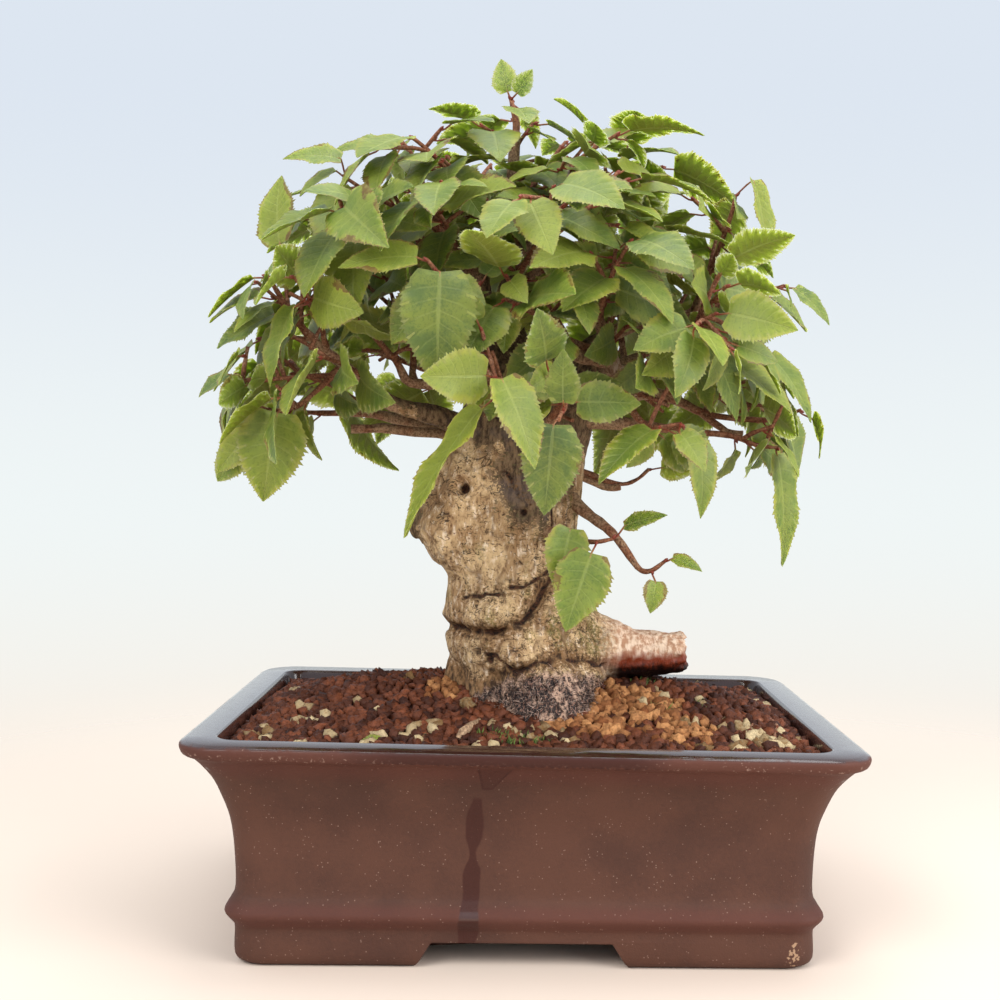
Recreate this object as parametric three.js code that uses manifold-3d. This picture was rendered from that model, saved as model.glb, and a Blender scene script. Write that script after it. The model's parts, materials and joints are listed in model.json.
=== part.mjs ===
// Korean hornbeam bonsai in a brown stoneware pot, in millimetres, +Z up.
// The origin is at the middle of the pot's underside, +X runs along the pot and -Y is the front.
import * as THREE from 'three';
import { mergeVertices } from 'three/addons/utils/BufferGeometryUtils.js';
import Module from 'manifold-3d';

const wasm = await Module();
wasm.setup();

// Driving dimensions of the pot
const POT_LENGTH = 200;
const POT_DEPTH = 150;
const POT_CORNER = 13;
const POT_SLANT = 0.024;
const FLOOR_TOP = 14;
const FOOT_HEIGHT = 7.5;
const FOOT_WIDTH = 12;
const FOOT_GAP_LONG = [-32, 31];
const FOOT_GAP_SHORT = [-16, 16];
const FOOT_SLOPE = 5;
const DRAIN_RADIUS = 10;
const DRAIN_X = 45;
const DRAIN_SIDES = 12;
// How much a corner's radius shrinks for each millimetre that a ring lies inside the rim
const CORNER_SHRINK = 0.35;
const INNER_CORNER_LESS = 2;
const CORNER_STEPS = 3;

// Height and half-length of the pot's outer wall, from the feet up to the rim
const OUTER_WALL = [
  [0, 83.6], [2.4, 85.9], [10, 85.9], [12, 86.6], [15.3, 88.6], [18.6, 86.9], [22, 85.7],
  [33, 86], [42, 87.1], [49.4, 89.5], [55, 92], [60.7, 96.4], [62.6, 99.3], [65.3, 100], [66.5, 98.2],
];
// Height and half-length of the inner wall, from the rim down to the floor
const INNER_WALL = [[66.4, 91], [65, 89.6], [50, 87.4], [30, 84], [17, 80.5], [FLOOR_TOP, 77]];

// Soil and drainage mesh, with the gap between neighbouring pieces and round the trunk
const SIDES = [-1, 1];
const GAP = 0.3;
const SOCKET_GAP = 0.4;
const SOIL_EDGE = 62.6;
const SOIL_CROWN = 14;
const SOIL_REACH_X = 88;
const SOIL_REACH_Y = 62;
const RIDGE_ROUND = 6;
const SOIL_STEPS = 9;
const SOIL_CORNER_STEPS = 5;
const SOIL_LEVELS = [17, 30, 50];
const SOIL_LUMP = 0.9;
const MESH_SIZE = 30;
const MESH_THICK = 1.4;
const MESH_HOLES = 3;
const MESH_HOLE = 5.6;

// Height, left, right, front and back of the trunk at each level
const TRUNK = [
  [44, -13, 14, -12, 12], [60, -15, 19, -17, 17], [70, -18, 25, -22, 20], [78, -21, 28, -25, 22],
  [86, -25, 25, -26, 22], [93.5, -25.6, 23, -23, 21], [98, -26.4, 22.5, -25, 21],
  [110, -25.3, 20.5, -23, 20], [116, -30.6, 19, -22.5, 20],
  [122, -33.8, 18, -22, 20], [126.5, -37, 18, -22, 20], [132.5, -34.2, 18.5, -22, 20],
  [140, -31.8, 19.4, -21, 20],
  [147, -30.4, 20, -20, 20], [153, -26, 21, -19, 19], [160, -22, 23, -18, 19], [168, -20, 24, -17, 18],
  [175, -18.5, 21, -14, 17], [182, -16, 14, -9, 14], [190, -14, 3, -4, 11],
];
const TRUNK_SIDES = 16;

// Stump of a cut root and the roots that flare into the soil: start and end radius, then the points
const ROOTS = [
  { sides: 8, from: 11, to: 6.6, points: [[8, 2, 86], [24, 0, 85], [38, 0, 84.2], [54, 0, 84.5]] },
  { sides: 12, from: 9, to: 21, points: [[5, -11, 90], [6, -15, 77], [7, -18, 60]] },
  { sides: 6, from: 10, to: 8, points: [[-9, -9, 90], [-10, -14, 74], [-12, -18, 60]] },
  { sides: 6, from: 11, to: 8, points: [[-12, 0, 88], [-17, -3, 74], [-22, -5, 60]] },
  { sides: 6, from: 11, to: 8, points: [[-10, 9, 90], [-14, 15, 74], [-18, 20, 60]] },
  { sides: 6, from: 11, to: 8, points: [[9, 10, 90], [13, 17, 75], [17, 22, 60]] },
];

// Branches and twigs. Each has a name, the radius where it starts and where its leafy twig starts, the
// points of the wood, the points that the leafy twig goes on to, how many leaves it has and their length.
const BRANCHES = [
  { name: 'leader_top', from: 12, to: 1.4, leaves: 4, size: 16,
    wood: [
      [-2, 4, 172], [-8, 4, 189], [-8, 4, 203], [-6, 3, 216], [-5, 2, 231], [-4, 0, 247], [-3, -2, 258],
    ],
    twig: [[-4, -3, 264], [-5, -3, 268]] },
  { name: 'left_main', from: 4.4, to: 1.3, leaves: 4, size: 25,
    wood: [
      [-15, 0, 157], [-28, -6, 163], [-43, -14, 167], [-53, -20, 175], [-63, -24, 183], [-69, -28, 189],
    ],
    twig: [[-74, -32, 196], [-80, -34, 206]] },
  { name: 'left_main_side', from: 1.7, to: 0.9, leaves: 4, size: 24,
    wood: [[-53, -20, 175], [-65, -27, 175]],
    twig: [[-76, -30, 174], [-86, -31, 173], [-90, -30, 175]] },
  { name: 'left_low', from: 3.2, to: 1, leaves: 4, size: 24,
    wood: [[-18, 8, 156], [-39, 12, 162], [-56, 16, 165], [-70, 18, 165]],
    twig: [[-80, 19, 166], [-87, 18, 170]] },
  { name: 'left_low_side', from: 1.6, to: 0.9, leaves: 3, size: 23,
    wood: [[-52, 15, 165], [-62, 6, 172]],
    twig: [[-68, -2, 175], [-76, -8, 177]] },
  { name: 'left_inner', from: 3, to: 0.9, leaves: 4, size: 24,
    wood: [[-11, -4, 172], [-23, -8, 174], [-37, -10, 174], [-42, -14, 181], [-50, -18, 190]],
    twig: [[-58, -21, 198], [-66, -22, 206]] },
  { name: 'left_front', from: 1.8, to: 0.9, leaves: 4, size: 24,
    wood: [[-43, -14, 167], [-50, -26, 174]],
    twig: [[-56, -35, 178], [-62, -42, 180]] },
  { name: 'left_tip_front', from: 1.4, to: 0.8, leaves: 4, size: 23,
    wood: [[-63, -24, 183], [-63, -34, 190]],
    twig: [[-66, -41, 198], [-70, -44, 204]] },
  { name: 'left_hanging', from: 1.3, to: 0.8, leaves: 4, size: 23,
    wood: [[-59, -25, 177], [-66, -32, 169]],
    twig: [[-71, -33, 165], [-79, -31, 164], [-86, -26, 166]] },
  { name: 'left_inner_up', from: 1.5, to: 0.9, leaves: 3, size: 23,
    wood: [[-37, -10, 174], [-37, -3, 185]],
    twig: [[-40, 0, 194], [-45, 2, 202]] },
  { name: 'left_back_main', from: 4, to: 1, leaves: 4, size: 25,
    wood: [[-10, 12, 166], [-32, 32, 181], [-51, 46, 196]],
    twig: [[-60, 51, 203], [-70, 54, 209]] },
  { name: 'left_back_side', from: 1.7, to: 0.9, leaves: 3, size: 24,
    wood: [[-32, 32, 181], [-49, 32, 186]],
    twig: [[-60, 32, 189], [-70, 31, 192]] },
  { name: 'left_back_low', from: 1.5, to: 0.9, leaves: 3, size: 24,
    wood: [[-56, 16, 165], [-61, 30, 170]],
    twig: [[-65, 39, 173], [-69, 48, 175]] },
  { name: 'back_low_left', from: 3, to: 0.9, leaves: 4, size: 25,
    wood: [[-8, 12, 162], [-20, 30, 170], [-31, 45, 175]],
    twig: [[-38, 54.5, 178.5], [-46, 62, 180]] },
  { name: 'upper_left', from: 2.8, to: 0.8, leaves: 4, size: 23,
    wood: [[-9, 2, 203], [-22, -4, 216], [-29, -10, 224], [-40, -16, 229]],
    twig: [[-49, -20, 233], [-57, -22, 238]] },
  { name: 'upper_left_twig', from: 1.3, to: 0.7, leaves: 4, size: 16,
    wood: [[-27, -8, 222], [-33, -13, 238]],
    twig: [[-36, -16, 246], [-40, -17, 251]] },
  { name: 'upper_left_side', from: 1.4, to: 0.8, leaves: 4, size: 23,
    wood: [[-22, -4, 216], [-35, 0, 223]],
    twig: [[-48, 2, 226], [-60, 3, 229]] },
  { name: 'upper_left_front', from: 1.3, to: 0.8, leaves: 4, size: 24,
    wood: [[-37, -14.3, 227.4], [-44, -28, 225]],
    twig: [[-49, -36, 222], [-56, -42, 219]] },
  { name: 'front_left_high', from: 1.4, to: 0.8, leaves: 4, size: 24,
    wood: [[-20, -3, 214], [-24, -21, 221]],
    twig: [[-27, -32, 225], [-31, -41, 228]] },
  { name: 'upper_left_back', from: 2.8, to: 0.8, leaves: 4, size: 24,
    wood: [[-7, 6, 211], [-23, 26, 231], [-36, 34, 241]],
    twig: [[-46, 38, 246], [-55, 41, 248]] },
  { name: 'upper_back_spur', from: 1.3, to: 0.8, leaves: 3, size: 22,
    wood: [[-23, 26, 231], [-19, 31, 242]],
    twig: [[-16, 36, 250], [-12, 39, 256]] },
  { name: 'upper_front', from: 1.7, to: 0.8, leaves: 4, size: 22,
    wood: [[-6, 2, 229], [-22, -16, 239]],
    twig: [[-29, -22, 245], [-36, -26, 250]] },
  { name: 'upper_right', from: 1.8, to: 0.8, leaves: 4, size: 23,
    wood: [[-5, 2, 222], [13, -14, 241]],
    twig: [[20, -19, 247], [29, -22, 252]] },
  { name: 'upper_back', from: 1.4, to: 0.8, leaves: 3, size: 22,
    wood: [[-5, 2, 231], [4, 11, 244]],
    twig: [[9, 15, 252], [14, 18, 259]] },
  { name: 'upper_right_back', from: 2.8, to: 0.8, leaves: 4, size: 24,
    wood: [[-7, 6, 214], [10, 22, 233], [26, 33, 244]],
    twig: [[36, 38, 249], [46, 42, 252]] },
  { name: 'upper_right_side', from: 1.4, to: 0.8, leaves: 4, size: 23,
    wood: [[10, 22, 233], [27, 17, 242]],
    twig: [[37, 14, 247], [47, 11, 249]] },
  { name: 'right_knee', from: 7, to: 0.9, leaves: 4, size: 24,
    wood: [[10, -6, 166], [20, -17, 175], [26, -22, 184], [23, -30, 193], [24, -36, 199]],
    twig: [[27, -44, 207], [31, -50, 214]] },
  { name: 'knee_left', from: 2.2, to: 0.9, leaves: 4, size: 23,
    wood: [[25, -22, 183], [17, -27, 185], [9, -32, 189]],
    twig: [[0, -39, 196], [-6, -44, 204]] },
  { name: 'right_fork', from: 2.8, to: 0.9, leaves: 4, size: 24,
    wood: [[25, -20, 178], [37, -16, 177], [47, -18, 179], [52, -21, 186], [54, -24, 192]],
    twig: [[58, -28, 202], [62, -31, 210]] },
  { name: 'right_fork_front', from: 1.5, to: 0.9, leaves: 4, size: 24,
    wood: [[37, -16, 177], [44, -30, 184]],
    twig: [[50, -39, 189], [57, -46, 193]] },
  { name: 'right_upper', from: 3.8, to: 1, leaves: 4, size: 24,
    wood: [[10, 2, 177], [26, 6, 190], [42, 7, 196], [57, 7, 199], [69, 6, 202]],
    twig: [[78, 2, 205], [86, -2, 207]] },
  { name: 'right_upper_rise', from: 1.6, to: 0.9, leaves: 4, size: 24,
    wood: [[26, 6, 190], [32, -4, 203]],
    twig: [[37, -11, 214], [43, -15, 223]] },
  { name: 'right_upper_back', from: 1.6, to: 0.9, leaves: 3, size: 24,
    wood: [[42, 7, 196], [48, 17, 208]],
    twig: [[54, 23, 217], [60, 28, 223]] },
  { name: 'right_upper_tip', from: 1.6, to: 0.9, leaves: 4, size: 23,
    wood: [[57, 7, 199], [62, -4, 214]],
    twig: [[65, -9, 223], [67, -12, 230], [68, -12, 235]] },
  { name: 'right_mid', from: 3.8, to: 1, leaves: 4, size: 24,
    wood: [[12, 6, 162], [33, 8, 171], [48, 8, 171], [61, 6, 165], [74, 4, 163]],
    twig: [[84, 1, 163], [92, -2, 166]] },
  { name: 'right_mid_rise', from: 1.5, to: 0.9, leaves: 3, size: 24,
    wood: [[48, 8, 171], [57, 0, 180]],
    twig: [[66, -6, 184], [75, -10, 186]] },
  { name: 'right_mid_back', from: 1.5, to: 0.9, leaves: 3, size: 24,
    wood: [[61, 6, 165], [66, 19, 171]],
    twig: [[71, 28, 174], [76, 36, 175]] },
  { name: 'right_back_main', from: 3.8, to: 1, leaves: 4, size: 25,
    wood: [[10, 12, 170], [36, 32, 184], [58, 46, 194]],
    twig: [[68, 50, 199], [78, 52, 203]] },
  { name: 'right_back_rise', from: 1.5, to: 0.9, leaves: 3, size: 24,
    wood: [[36, 32, 184], [35, 42, 200]],
    twig: [[35, 50, 210], [37, 56, 217]] },
  { name: 'right_back_side', from: 1.5, to: 0.9, leaves: 3, size: 24,
    wood: [[54, 43.5, 192.2], [62, 36, 207]],
    twig: [[67, 31, 217], [72, 28, 225]] },
  { name: 'right_hanging', from: 3.2, to: 0.9, leaves: 4, size: 22,
    wood: [[26, -22, 182], [31, -25, 173], [33, -30, 165], [37, -35, 160]],
    twig: [[41, -41, 159], [47, -44, 160]] },
  { name: 'right_low', from: 2.6, to: 0.9, leaves: 4, size: 24,
    wood: [[18, -6, 162], [40, -12, 160], [55, -15, 158], [66, -17, 157]],
    twig: [[74, -19, 154], [81, -20, 153]] },
  { name: 'low_droop', from: 2.4, to: 1, leaves: 1, size: 12,
    wood: [[14, -6, 138], [20, -14, 132], [28, -22, 126], [33, -28, 119], [36, -33, 115]],
    twig: [[39, -37, 115], [43, -38, 118]] },
  { name: 'low_front', from: 2, to: 0.9, leaves: 0, size: 12,
    wood: [[7, -18, 126], [13, -28, 125], [17, -34, 124]],
    twig: [[22, -41, 124], [27, -42, 125]] },
  { name: 'low_dark', from: 1.8, to: 0.8, leaves: 3, size: 14,
    wood: [[14, 8, 147], [32, 17, 141]],
    twig: [[39, 20, 142], [44, 21, 146]] },
  { name: 'front_left', from: 2.4, to: 0.9, leaves: 4, size: 24,
    wood: [[-8, -10, 166], [-13, -28, 178], [-18, -40, 189], [-22, -48, 196]],
    twig: [[-25, -54, 202], [-29, -57, 207]] },
  { name: 'front_mid_left', from: 2.2, to: 0.9, leaves: 3, size: 22,
    wood: [[-2, -12, 159], [-4, -28, 166], [-6, -40, 168]],
    twig: [[-8, -50, 169], [-9, -58, 173]] },
  { name: 'front_mid_right', from: 2.2, to: 0.9, leaves: 4, size: 22,
    wood: [[6, -12, 158], [9, -26, 163], [11, -38, 166]],
    twig: [[12, -49, 166], [11, -58, 163]] },
  { name: 'front_high', from: 2, to: 0.8, leaves: 4, size: 24,
    wood: [[-8, 0, 198], [-2, -22, 208], [3, -35, 215]],
    twig: [[6, -43, 222], [8, -49, 230]] },
  { name: 'front_high_right', from: 1.4, to: 0.8, leaves: 4, size: 23,
    wood: [[1, -30, 212.2], [14, -36, 222]],
    twig: [[23, -36, 229], [31, -35, 235]] },
  { name: 'back_high', from: 2.4, to: 0.8, leaves: 4, size: 24,
    wood: [[-8, 8, 199], [-12, 30, 212], [-15, 42, 220]],
    twig: [[-18, 51, 227], [-21, 58, 232]] },
  { name: 'back_high_right', from: 2.4, to: 0.8, leaves: 3, size: 24,
    wood: [[-6, 8, 206], [8, 30, 218], [17, 42, 225]],
    twig: [[25, 51, 229], [33, 57, 233]] },
  { name: 'back_mid', from: 2.4, to: 0.9, leaves: 4, size: 24,
    wood: [[-6, 12, 184], [-10, 34, 193], [-13, 46, 198]],
    twig: [[-17, 56, 202], [-21, 63, 205]] },
  { name: 'back_low', from: 2.4, to: 0.9, leaves: 4, size: 25,
    wood: [[2, 14, 162], [2, 34, 167], [0, 46, 169]],
    twig: [[-2, 56, 171], [-4, 63, 174]] },
  { name: 'back_low_right', from: 2.6, to: 0.9, leaves: 4, size: 25,
    wood: [[10, 14, 164], [24, 34, 169], [33, 46, 171]],
    twig: [[41, 54, 173], [49, 60, 174]] },
];

// Branches that were cut: the wood ends bare
const STUBS = [
  { from: 1.8, to: 1.6, points: [[-14, 7, 156], [-43, 2, 159], [-58, 0, 159]] },
  { from: 2.2, to: 1.9, points: [[26, -24, 180], [17, -31, 181], [11, -35, 183]] },
  { from: 1.3, to: 1.1, points: [[60, 6, 165], [68, 2, 159], [73, 0, 158]] },
  { from: 1.2, to: 1.1, points: [[12, 8, 147], [27, 9, 140], [33, 8, 140]] },
];

// Leaves that stand out from the front: their twig, blade base, tip, width and the side they face
const LEADING_LEAVES = [
  { on: 'leader_top', base: [-6, -4, 270], tip: [-9, -5, 281], width: 9, face: [-0.3, -1, 0.2] },
  { on: 'leader_top', base: [-3, -6, 269], tip: [2, -9, 276], width: 7, face: [0.3, -1, 0.3] },
  { on: 'front_left', base: [-25, -60, 203], tip: [-26, -64, 171], width: 23, face: [0, -1, 0.2] },
  { on: 'left_tip_front', base: [-70, -46, 194], tip: [-80, -48, 172], width: 15, face: [-0.8, -0.6, 0.3] },
  { on: 'left_hanging', base: [-76, -37, 163], tip: [-81, -39, 136], width: 22, face: [0.1, -1, 0.1] },
  { on: 'front_mid_left', base: [-13, -53, 164], tip: [-41, -60, 131], width: 19, face: [-0.7, -0.4, 0.7] },
  { on: 'front_mid_left', base: [-7, -64, 172], tip: [5, -72, 149], width: 16, face: [0.4, -0.8, 0.5] },
  { on: 'front_mid_right', base: [8, -60, 159], tip: [6, -62, 133], width: 18.5, face: [0.1, -1, 0.2] },
  { on: 'right_hanging', base: [38, -47, 158], tip: [20, -58, 147], width: 15, face: [-0.3, -0.5, 0.8] },
  { on: 'low_front', base: [14, -41, 128], tip: [10, -47, 111], width: 14, face: [0.1, -1, 0.2] },
  { on: 'low_front', base: [20, -47, 121], tip: [12, -51, 98], width: 18, face: [-0.1, -1, 0.2] },
  { on: 'low_front', base: [30, -44, 129], tip: [42, -47, 134], width: 10, face: [0.1, -0.5, 0.9] },
  { on: 'right_low', base: [80, -23, 151], tip: [86, -25, 116], width: 15, face: [0.7, -0.7, 0.1] },
  { on: 'right_hanging', base: [46, -48, 157], tip: [54, -53, 147], width: 11, face: [0.3, -0.8, 0.5] },
  { on: 'right_hanging', base: [52, -42, 155], tip: [57, -46, 133], width: 12, face: [0.5, -0.8, 0.2] },
  { on: 'upper_left_twig', base: [-44, -19, 249], tip: [-62, -22, 250], width: 11, face: [0, -0.6, 0.8] },
  { on: 'upper_left', base: [-58, -26, 243], tip: [-75, -29, 247], width: 11, face: [-0.1, -0.7, 0.7] },
  { on: 'upper_left', base: [-60, -23, 240], tip: [-72, -26, 233], width: 11, face: [-0.6, -0.5, 0.6] },
  { on: 'right_upper', base: [89, -4, 206], tip: [101.5, -8, 196], width: 12, face: [0.5, -0.6, 0.7] },
  { on: 'right_upper_tip', base: [73, -15, 239], tip: [80, -19, 214], width: 14, face: [0.8, -0.6, 0.2] },
  { on: 'low_droop', base: [40, -40, 112], tip: [39, -43, 103], width: 8, face: [0.2, -1, 0.2] },
  { on: 'low_droop', base: [45, -40, 119], tip: [54, -43, 117], width: 7, face: [0.2, -0.6, 0.8] },
  { on: 'left_main_side', base: [-92, -33, 175], tip: [-102, -35, 170], width: 9, face: [-0.4, -0.6, 0.7] },
];

// Leaf blades, petioles and the rule that places them
const CROWN_CENTRE = [-2, 0, 186];
const LEAF_FULLNESS = 2.41;
const LEAF_TIP = 0.95;
const LEAF_SHOULDER = 0.45;
const TOOTH_OUT = 1.04;
const TOOTH_IN = 0.8;
const TOOTH_LEAN = 0.025;
const RIB_THICKNESS = 1.15;
const PETIOLE = 0.46;
const LEAF_SPACE = 2.6;
const WOOD_SPACE = 1.3;
const TRIES = 30;
const LONG_LEAF = 27;
const TWIG_END = 0.6;
const WOOD_TAPER = 1.6;
// How far placed leaves may reach from the crown's centre to the sides, in depth and up, and how low
const DOME = [100, 75, 84];
const CROWN_FLOOR = 140;
// The space in front of the bare trunk, kept free of placed leaves
const TRUNK_VIEW = [[-60, -80, 90], [24, 6, 160]];
const BLADE_STATIONS = [0.08, 0.26, 0.44, 0.62, 0.8, 0.97];
const BLADE_ACROSS = [-0.9, -0.45, 0, 0.45, 0.9];
const BLADE_MIDDLE = 12;
// A leaf that fits nowhere after this many tries is made smaller
const SMALLER = [[12, 1], [21, 0.78], [TRIES, 0.58]];
// Shares of a petiole at which it is tested
const STALK_SHARES = [0.35, 0.7, 1];
const WOOD_STEP = 3;

const vec = (p) => new THREE.Vector3(p[0], p[1], p[2]);

// A number from 0 to 1 that follows from a whole number, and the next ones after it
function randomFrom(seed) {
  let state = seed >>> 0;
  return () => {
    state = (state + 0x6d2b79f5) >>> 0;
    let t = state;
    t = Math.imul(t ^ (t >>> 15), t | 1);
    t ^= t + Math.imul(t ^ (t >>> 7), t | 61);
    return ((t ^ (t >>> 14)) >>> 0) / 4294967296;
  };
}

// A closed body from points and triangles
function bodyOf(points, faces) {
  const geometry = new THREE.BufferGeometry();
  const numbers = points.flatMap((p) => [p.x, p.y, p.z]);
  geometry.setAttribute('position', new THREE.Float32BufferAttribute(numbers, 3));
  geometry.setIndex(faces.flat());
  return geometry;
}

// A closed body between rings of points with flat ends, the rings turning left seen from the last one
function loft(rings) {
  const count = rings[0].length;
  const faces = [];
  for (let r = 0; r + 1 < rings.length; r += 1) {
    for (let i = 0; i < count; i += 1) {
      const a = r * count + i;
      const b = r * count + ((i + 1) % count);
      faces.push([a, b, b + count], [a, b + count, a + count]);
    }
  }
  const top = (rings.length - 1) * count;
  for (let i = 1; i + 1 < count; i += 1) {
    faces.push([0, i + 1, i], [top, top + i, top + i + 1]);
  }
  return bodyOf(rings.flat(), faces);
}

// A box between two corners
function boxBetween(low, high) {
  const geometry = new THREE.BoxGeometry(high[0] - low[0], high[1] - low[1], high[2] - low[2]);
  return geometry.translate((low[0] + high[0]) / 2, (low[1] + high[1]) / 2, (low[2] + high[2]) / 2);
}

// A solid for joining and cutting
function solid(geometry) {
  const plain = geometry.clone();
  plain.deleteAttribute('normal');
  plain.deleteAttribute('uv');
  const merged = mergeVertices(plain, 1e-4);
  return new wasm.Manifold(new wasm.Mesh({
    numProp: 3,
    vertProperties: new Float32Array(merged.attributes.position.array),
    triVerts: new Uint32Array(merged.index.array),
  }));
}

// The triangles of a solid as a geometry
function geometryOf(manifold) {
  const mesh = manifold.getMesh();
  const geometry = new THREE.BufferGeometry();
  const numbers = new Float32Array(mesh.vertProperties);
  geometry.setAttribute('position', new THREE.BufferAttribute(numbers, mesh.numProp));
  geometry.setIndex(new THREE.BufferAttribute(new Uint32Array(mesh.triVerts), 1));
  return geometry;
}

// The pot's rim stands a little higher on the left: heights change with x, and the feet stay level
function slanted(geometry) {
  const position = geometry.attributes.position;
  for (let i = 0; i < position.count; i += 1) {
    const z = position.getZ(i);
    position.setZ(i, z * (1 - POT_SLANT * position.getX(i) / (POT_LENGTH / 2)));
  }
  return geometry;
}

// A level ring round the pot: a rectangle with rounded corners, turning left
function potRing(z, halfLength, corner, steps = CORNER_STEPS) {
  const halfDepth = halfLength - (POT_LENGTH - POT_DEPTH) / 2;
  const ring = [];
  for (const [sx, sy, turn] of [[1, 1, 0], [-1, 1, 1], [-1, -1, 2], [1, -1, 3]]) {
    for (let k = 0; k <= steps; k += 1) {
      const angle = (turn + k / steps) * Math.PI / 2;
      ring.push(new THREE.Vector3(
        sx * (halfLength - corner) + corner * Math.cos(angle),
        sy * (halfDepth - corner) + corner * Math.sin(angle),
        z,
      ));
    }
  }
  return ring;
}

const cornerAt = (halfLength) => POT_CORNER - (POT_LENGTH / 2 - halfLength) * CORNER_SHRINK;
const innerCornerAt = (halfLength) => cornerAt(halfLength) - INNER_CORNER_LESS;

// A bar with sloped ends, cut away between two feet
function footGap(range, reach, alongX) {
  const [low, high] = range;
  const section = [
    [low - 1, -2], [high + 1, -2], [high - FOOT_SLOPE, FOOT_HEIGHT], [low + FOOT_SLOPE, FOOT_HEIGHT],
  ];
  const rings = [reach, -reach].map((y) => section.map(([x, z]) => new THREE.Vector3(x, y, z)));
  const geometry = loft(rings);
  return alongX ? geometry.rotateZ(Math.PI / 2) : geometry;
}

function makePot() {
  const outside = OUTER_WALL.map(([z, half]) => potRing(z, half, cornerAt(half)));
  const inside = INNER_WALL.map(([z, half]) => potRing(z, half, innerCornerAt(half)));
  const rings = [...outside, ...inside];
  let pot = solid(loft(rings));
  const footInside = OUTER_WALL[1][1] - FOOT_WIDTH;
  const hollow = [potRing(-2, footInside, 4, 1), potRing(FOOT_HEIGHT, footInside - 1, 4, 1)];
  pot = pot.subtract(solid(loft(hollow)));
  pot = pot.subtract(solid(footGap(FOOT_GAP_LONG, POT_DEPTH, false)));
  pot = pot.subtract(solid(footGap(FOOT_GAP_SHORT, POT_LENGTH, true)));
  for (const side of SIDES) {
    const hole = new THREE.CylinderGeometry(DRAIN_RADIUS, DRAIN_RADIUS, 2 * FLOOR_TOP, DRAIN_SIDES);
    pot = pot.subtract(solid(hole.rotateX(Math.PI / 2).translate(side * DRAIN_X, 0, FLOOR_TOP)));
  }
  return slanted(geometryOf(pot));
}

// Plastic mesh over a drain hole
function makeDrainMesh(side) {
  const low = FLOOR_TOP + GAP;
  const half = MESH_SIZE / 2;
  const middle = side * DRAIN_X;
  let mesh = solid(boxBetween([middle - half, -half, low], [middle + half, half, low + MESH_THICK]));
  const pitch = MESH_SIZE / MESH_HOLES;
  for (let i = 0; i < MESH_HOLES; i += 1) {
    for (let j = 0; j < MESH_HOLES; j += 1) {
      const x = middle + (i - (MESH_HOLES - 1) / 2) * pitch;
      const y = (j - (MESH_HOLES - 1) / 2) * pitch;
      const cut = boxBetween(
        [x - MESH_HOLE / 2, y - MESH_HOLE / 2, low - 1],
        [x + MESH_HOLE / 2, y + MESH_HOLE / 2, low + MESH_THICK + 1],
      );
      mesh = mesh.subtract(solid(cut));
    }
  }
  return slanted(geometryOf(mesh));
}

// Half-length of the inner wall at a height
function innerHalf(z) {
  for (let i = 0; i + 1 < INNER_WALL.length; i += 1) {
    const [zHigh, halfHigh] = INNER_WALL[i];
    const [zLow, halfLow] = INNER_WALL[i + 1];
    if (z >= zLow) return halfLow + (halfHigh - halfLow) * Math.min(1, (z - zLow) / (zHigh - zLow));
  }
  return INNER_WALL[INNER_WALL.length - 1][1];
}

// Height of the soil: a mound along the middle with small lumps
function soilTop(x, y) {
  const along = Math.max(0, 1 - (Math.abs(x) / SOIL_REACH_X) ** 4);
  const fromRidge = Math.hypot(y, RIDGE_ROUND) - RIDGE_ROUND;
  const across = Math.max(0, 1 - fromRidge / SOIL_REACH_Y) ** 1.5;
  const lumps = Math.sin(x * 0.61 + Math.sin(y * 0.4)) * Math.sin(y * 0.67 + 1.7 * Math.sin(x * 0.23));
  return SOIL_EDGE + SOIL_CROWN * along * across + SOIL_LUMP * lumps;
}

function makeSoil(trunkRoom) {
  const wall = (z) => potRing(z, innerHalf(z) - GAP, innerCornerAt(innerHalf(z)), SOIL_CORNER_STEPS);
  const floor = FLOOR_TOP + GAP;
  const rings = [floor, ...SOIL_LEVELS].map(wall);
  const edge = wall(SOIL_EDGE);
  for (let step = 0; step < SOIL_STEPS; step += 1) {
    const scale = 1 - step / SOIL_STEPS;
    const inner = edge.map((p) => [p.x * scale, p.y * scale]);
    rings.push(inner.map(([x, y]) => new THREE.Vector3(x, y, soilTop(x, y))));
  }
  const points = rings.flat();
  const count = edge.length;
  const faces = [];
  for (let r = 0; r + 1 < rings.length; r += 1) {
    for (let i = 0; i < count; i += 1) {
      const a = r * count + i;
      const b = r * count + ((i + 1) % count);
      faces.push([a, b, b + count], [a, b + count, a + count]);
    }
  }
  const top = (rings.length - 1) * count;
  points.push(new THREE.Vector3(0, 0, soilTop(0, 0)));
  for (let i = 0; i < count; i += 1) faces.push([top + i, top + ((i + 1) % count), points.length - 1]);
  for (let i = 1; i + 1 < count; i += 1) faces.push([0, i + 1, i]);
  let soil = solid(slanted(bodyOf(points, faces)));
  for (const side of SIDES) {
    const half = MESH_SIZE / 2 + GAP;
    const middle = side * DRAIN_X;
    const roof = FLOOR_TOP + MESH_THICK + 3 * GAP;
    const room = boxBetween([middle - half, -half, 0], [middle + half, half, roof]);
    soil = soil.subtract(solid(slanted(room)));
  }
  return geometryOf(soil.subtract(trunkRoom));
}

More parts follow.
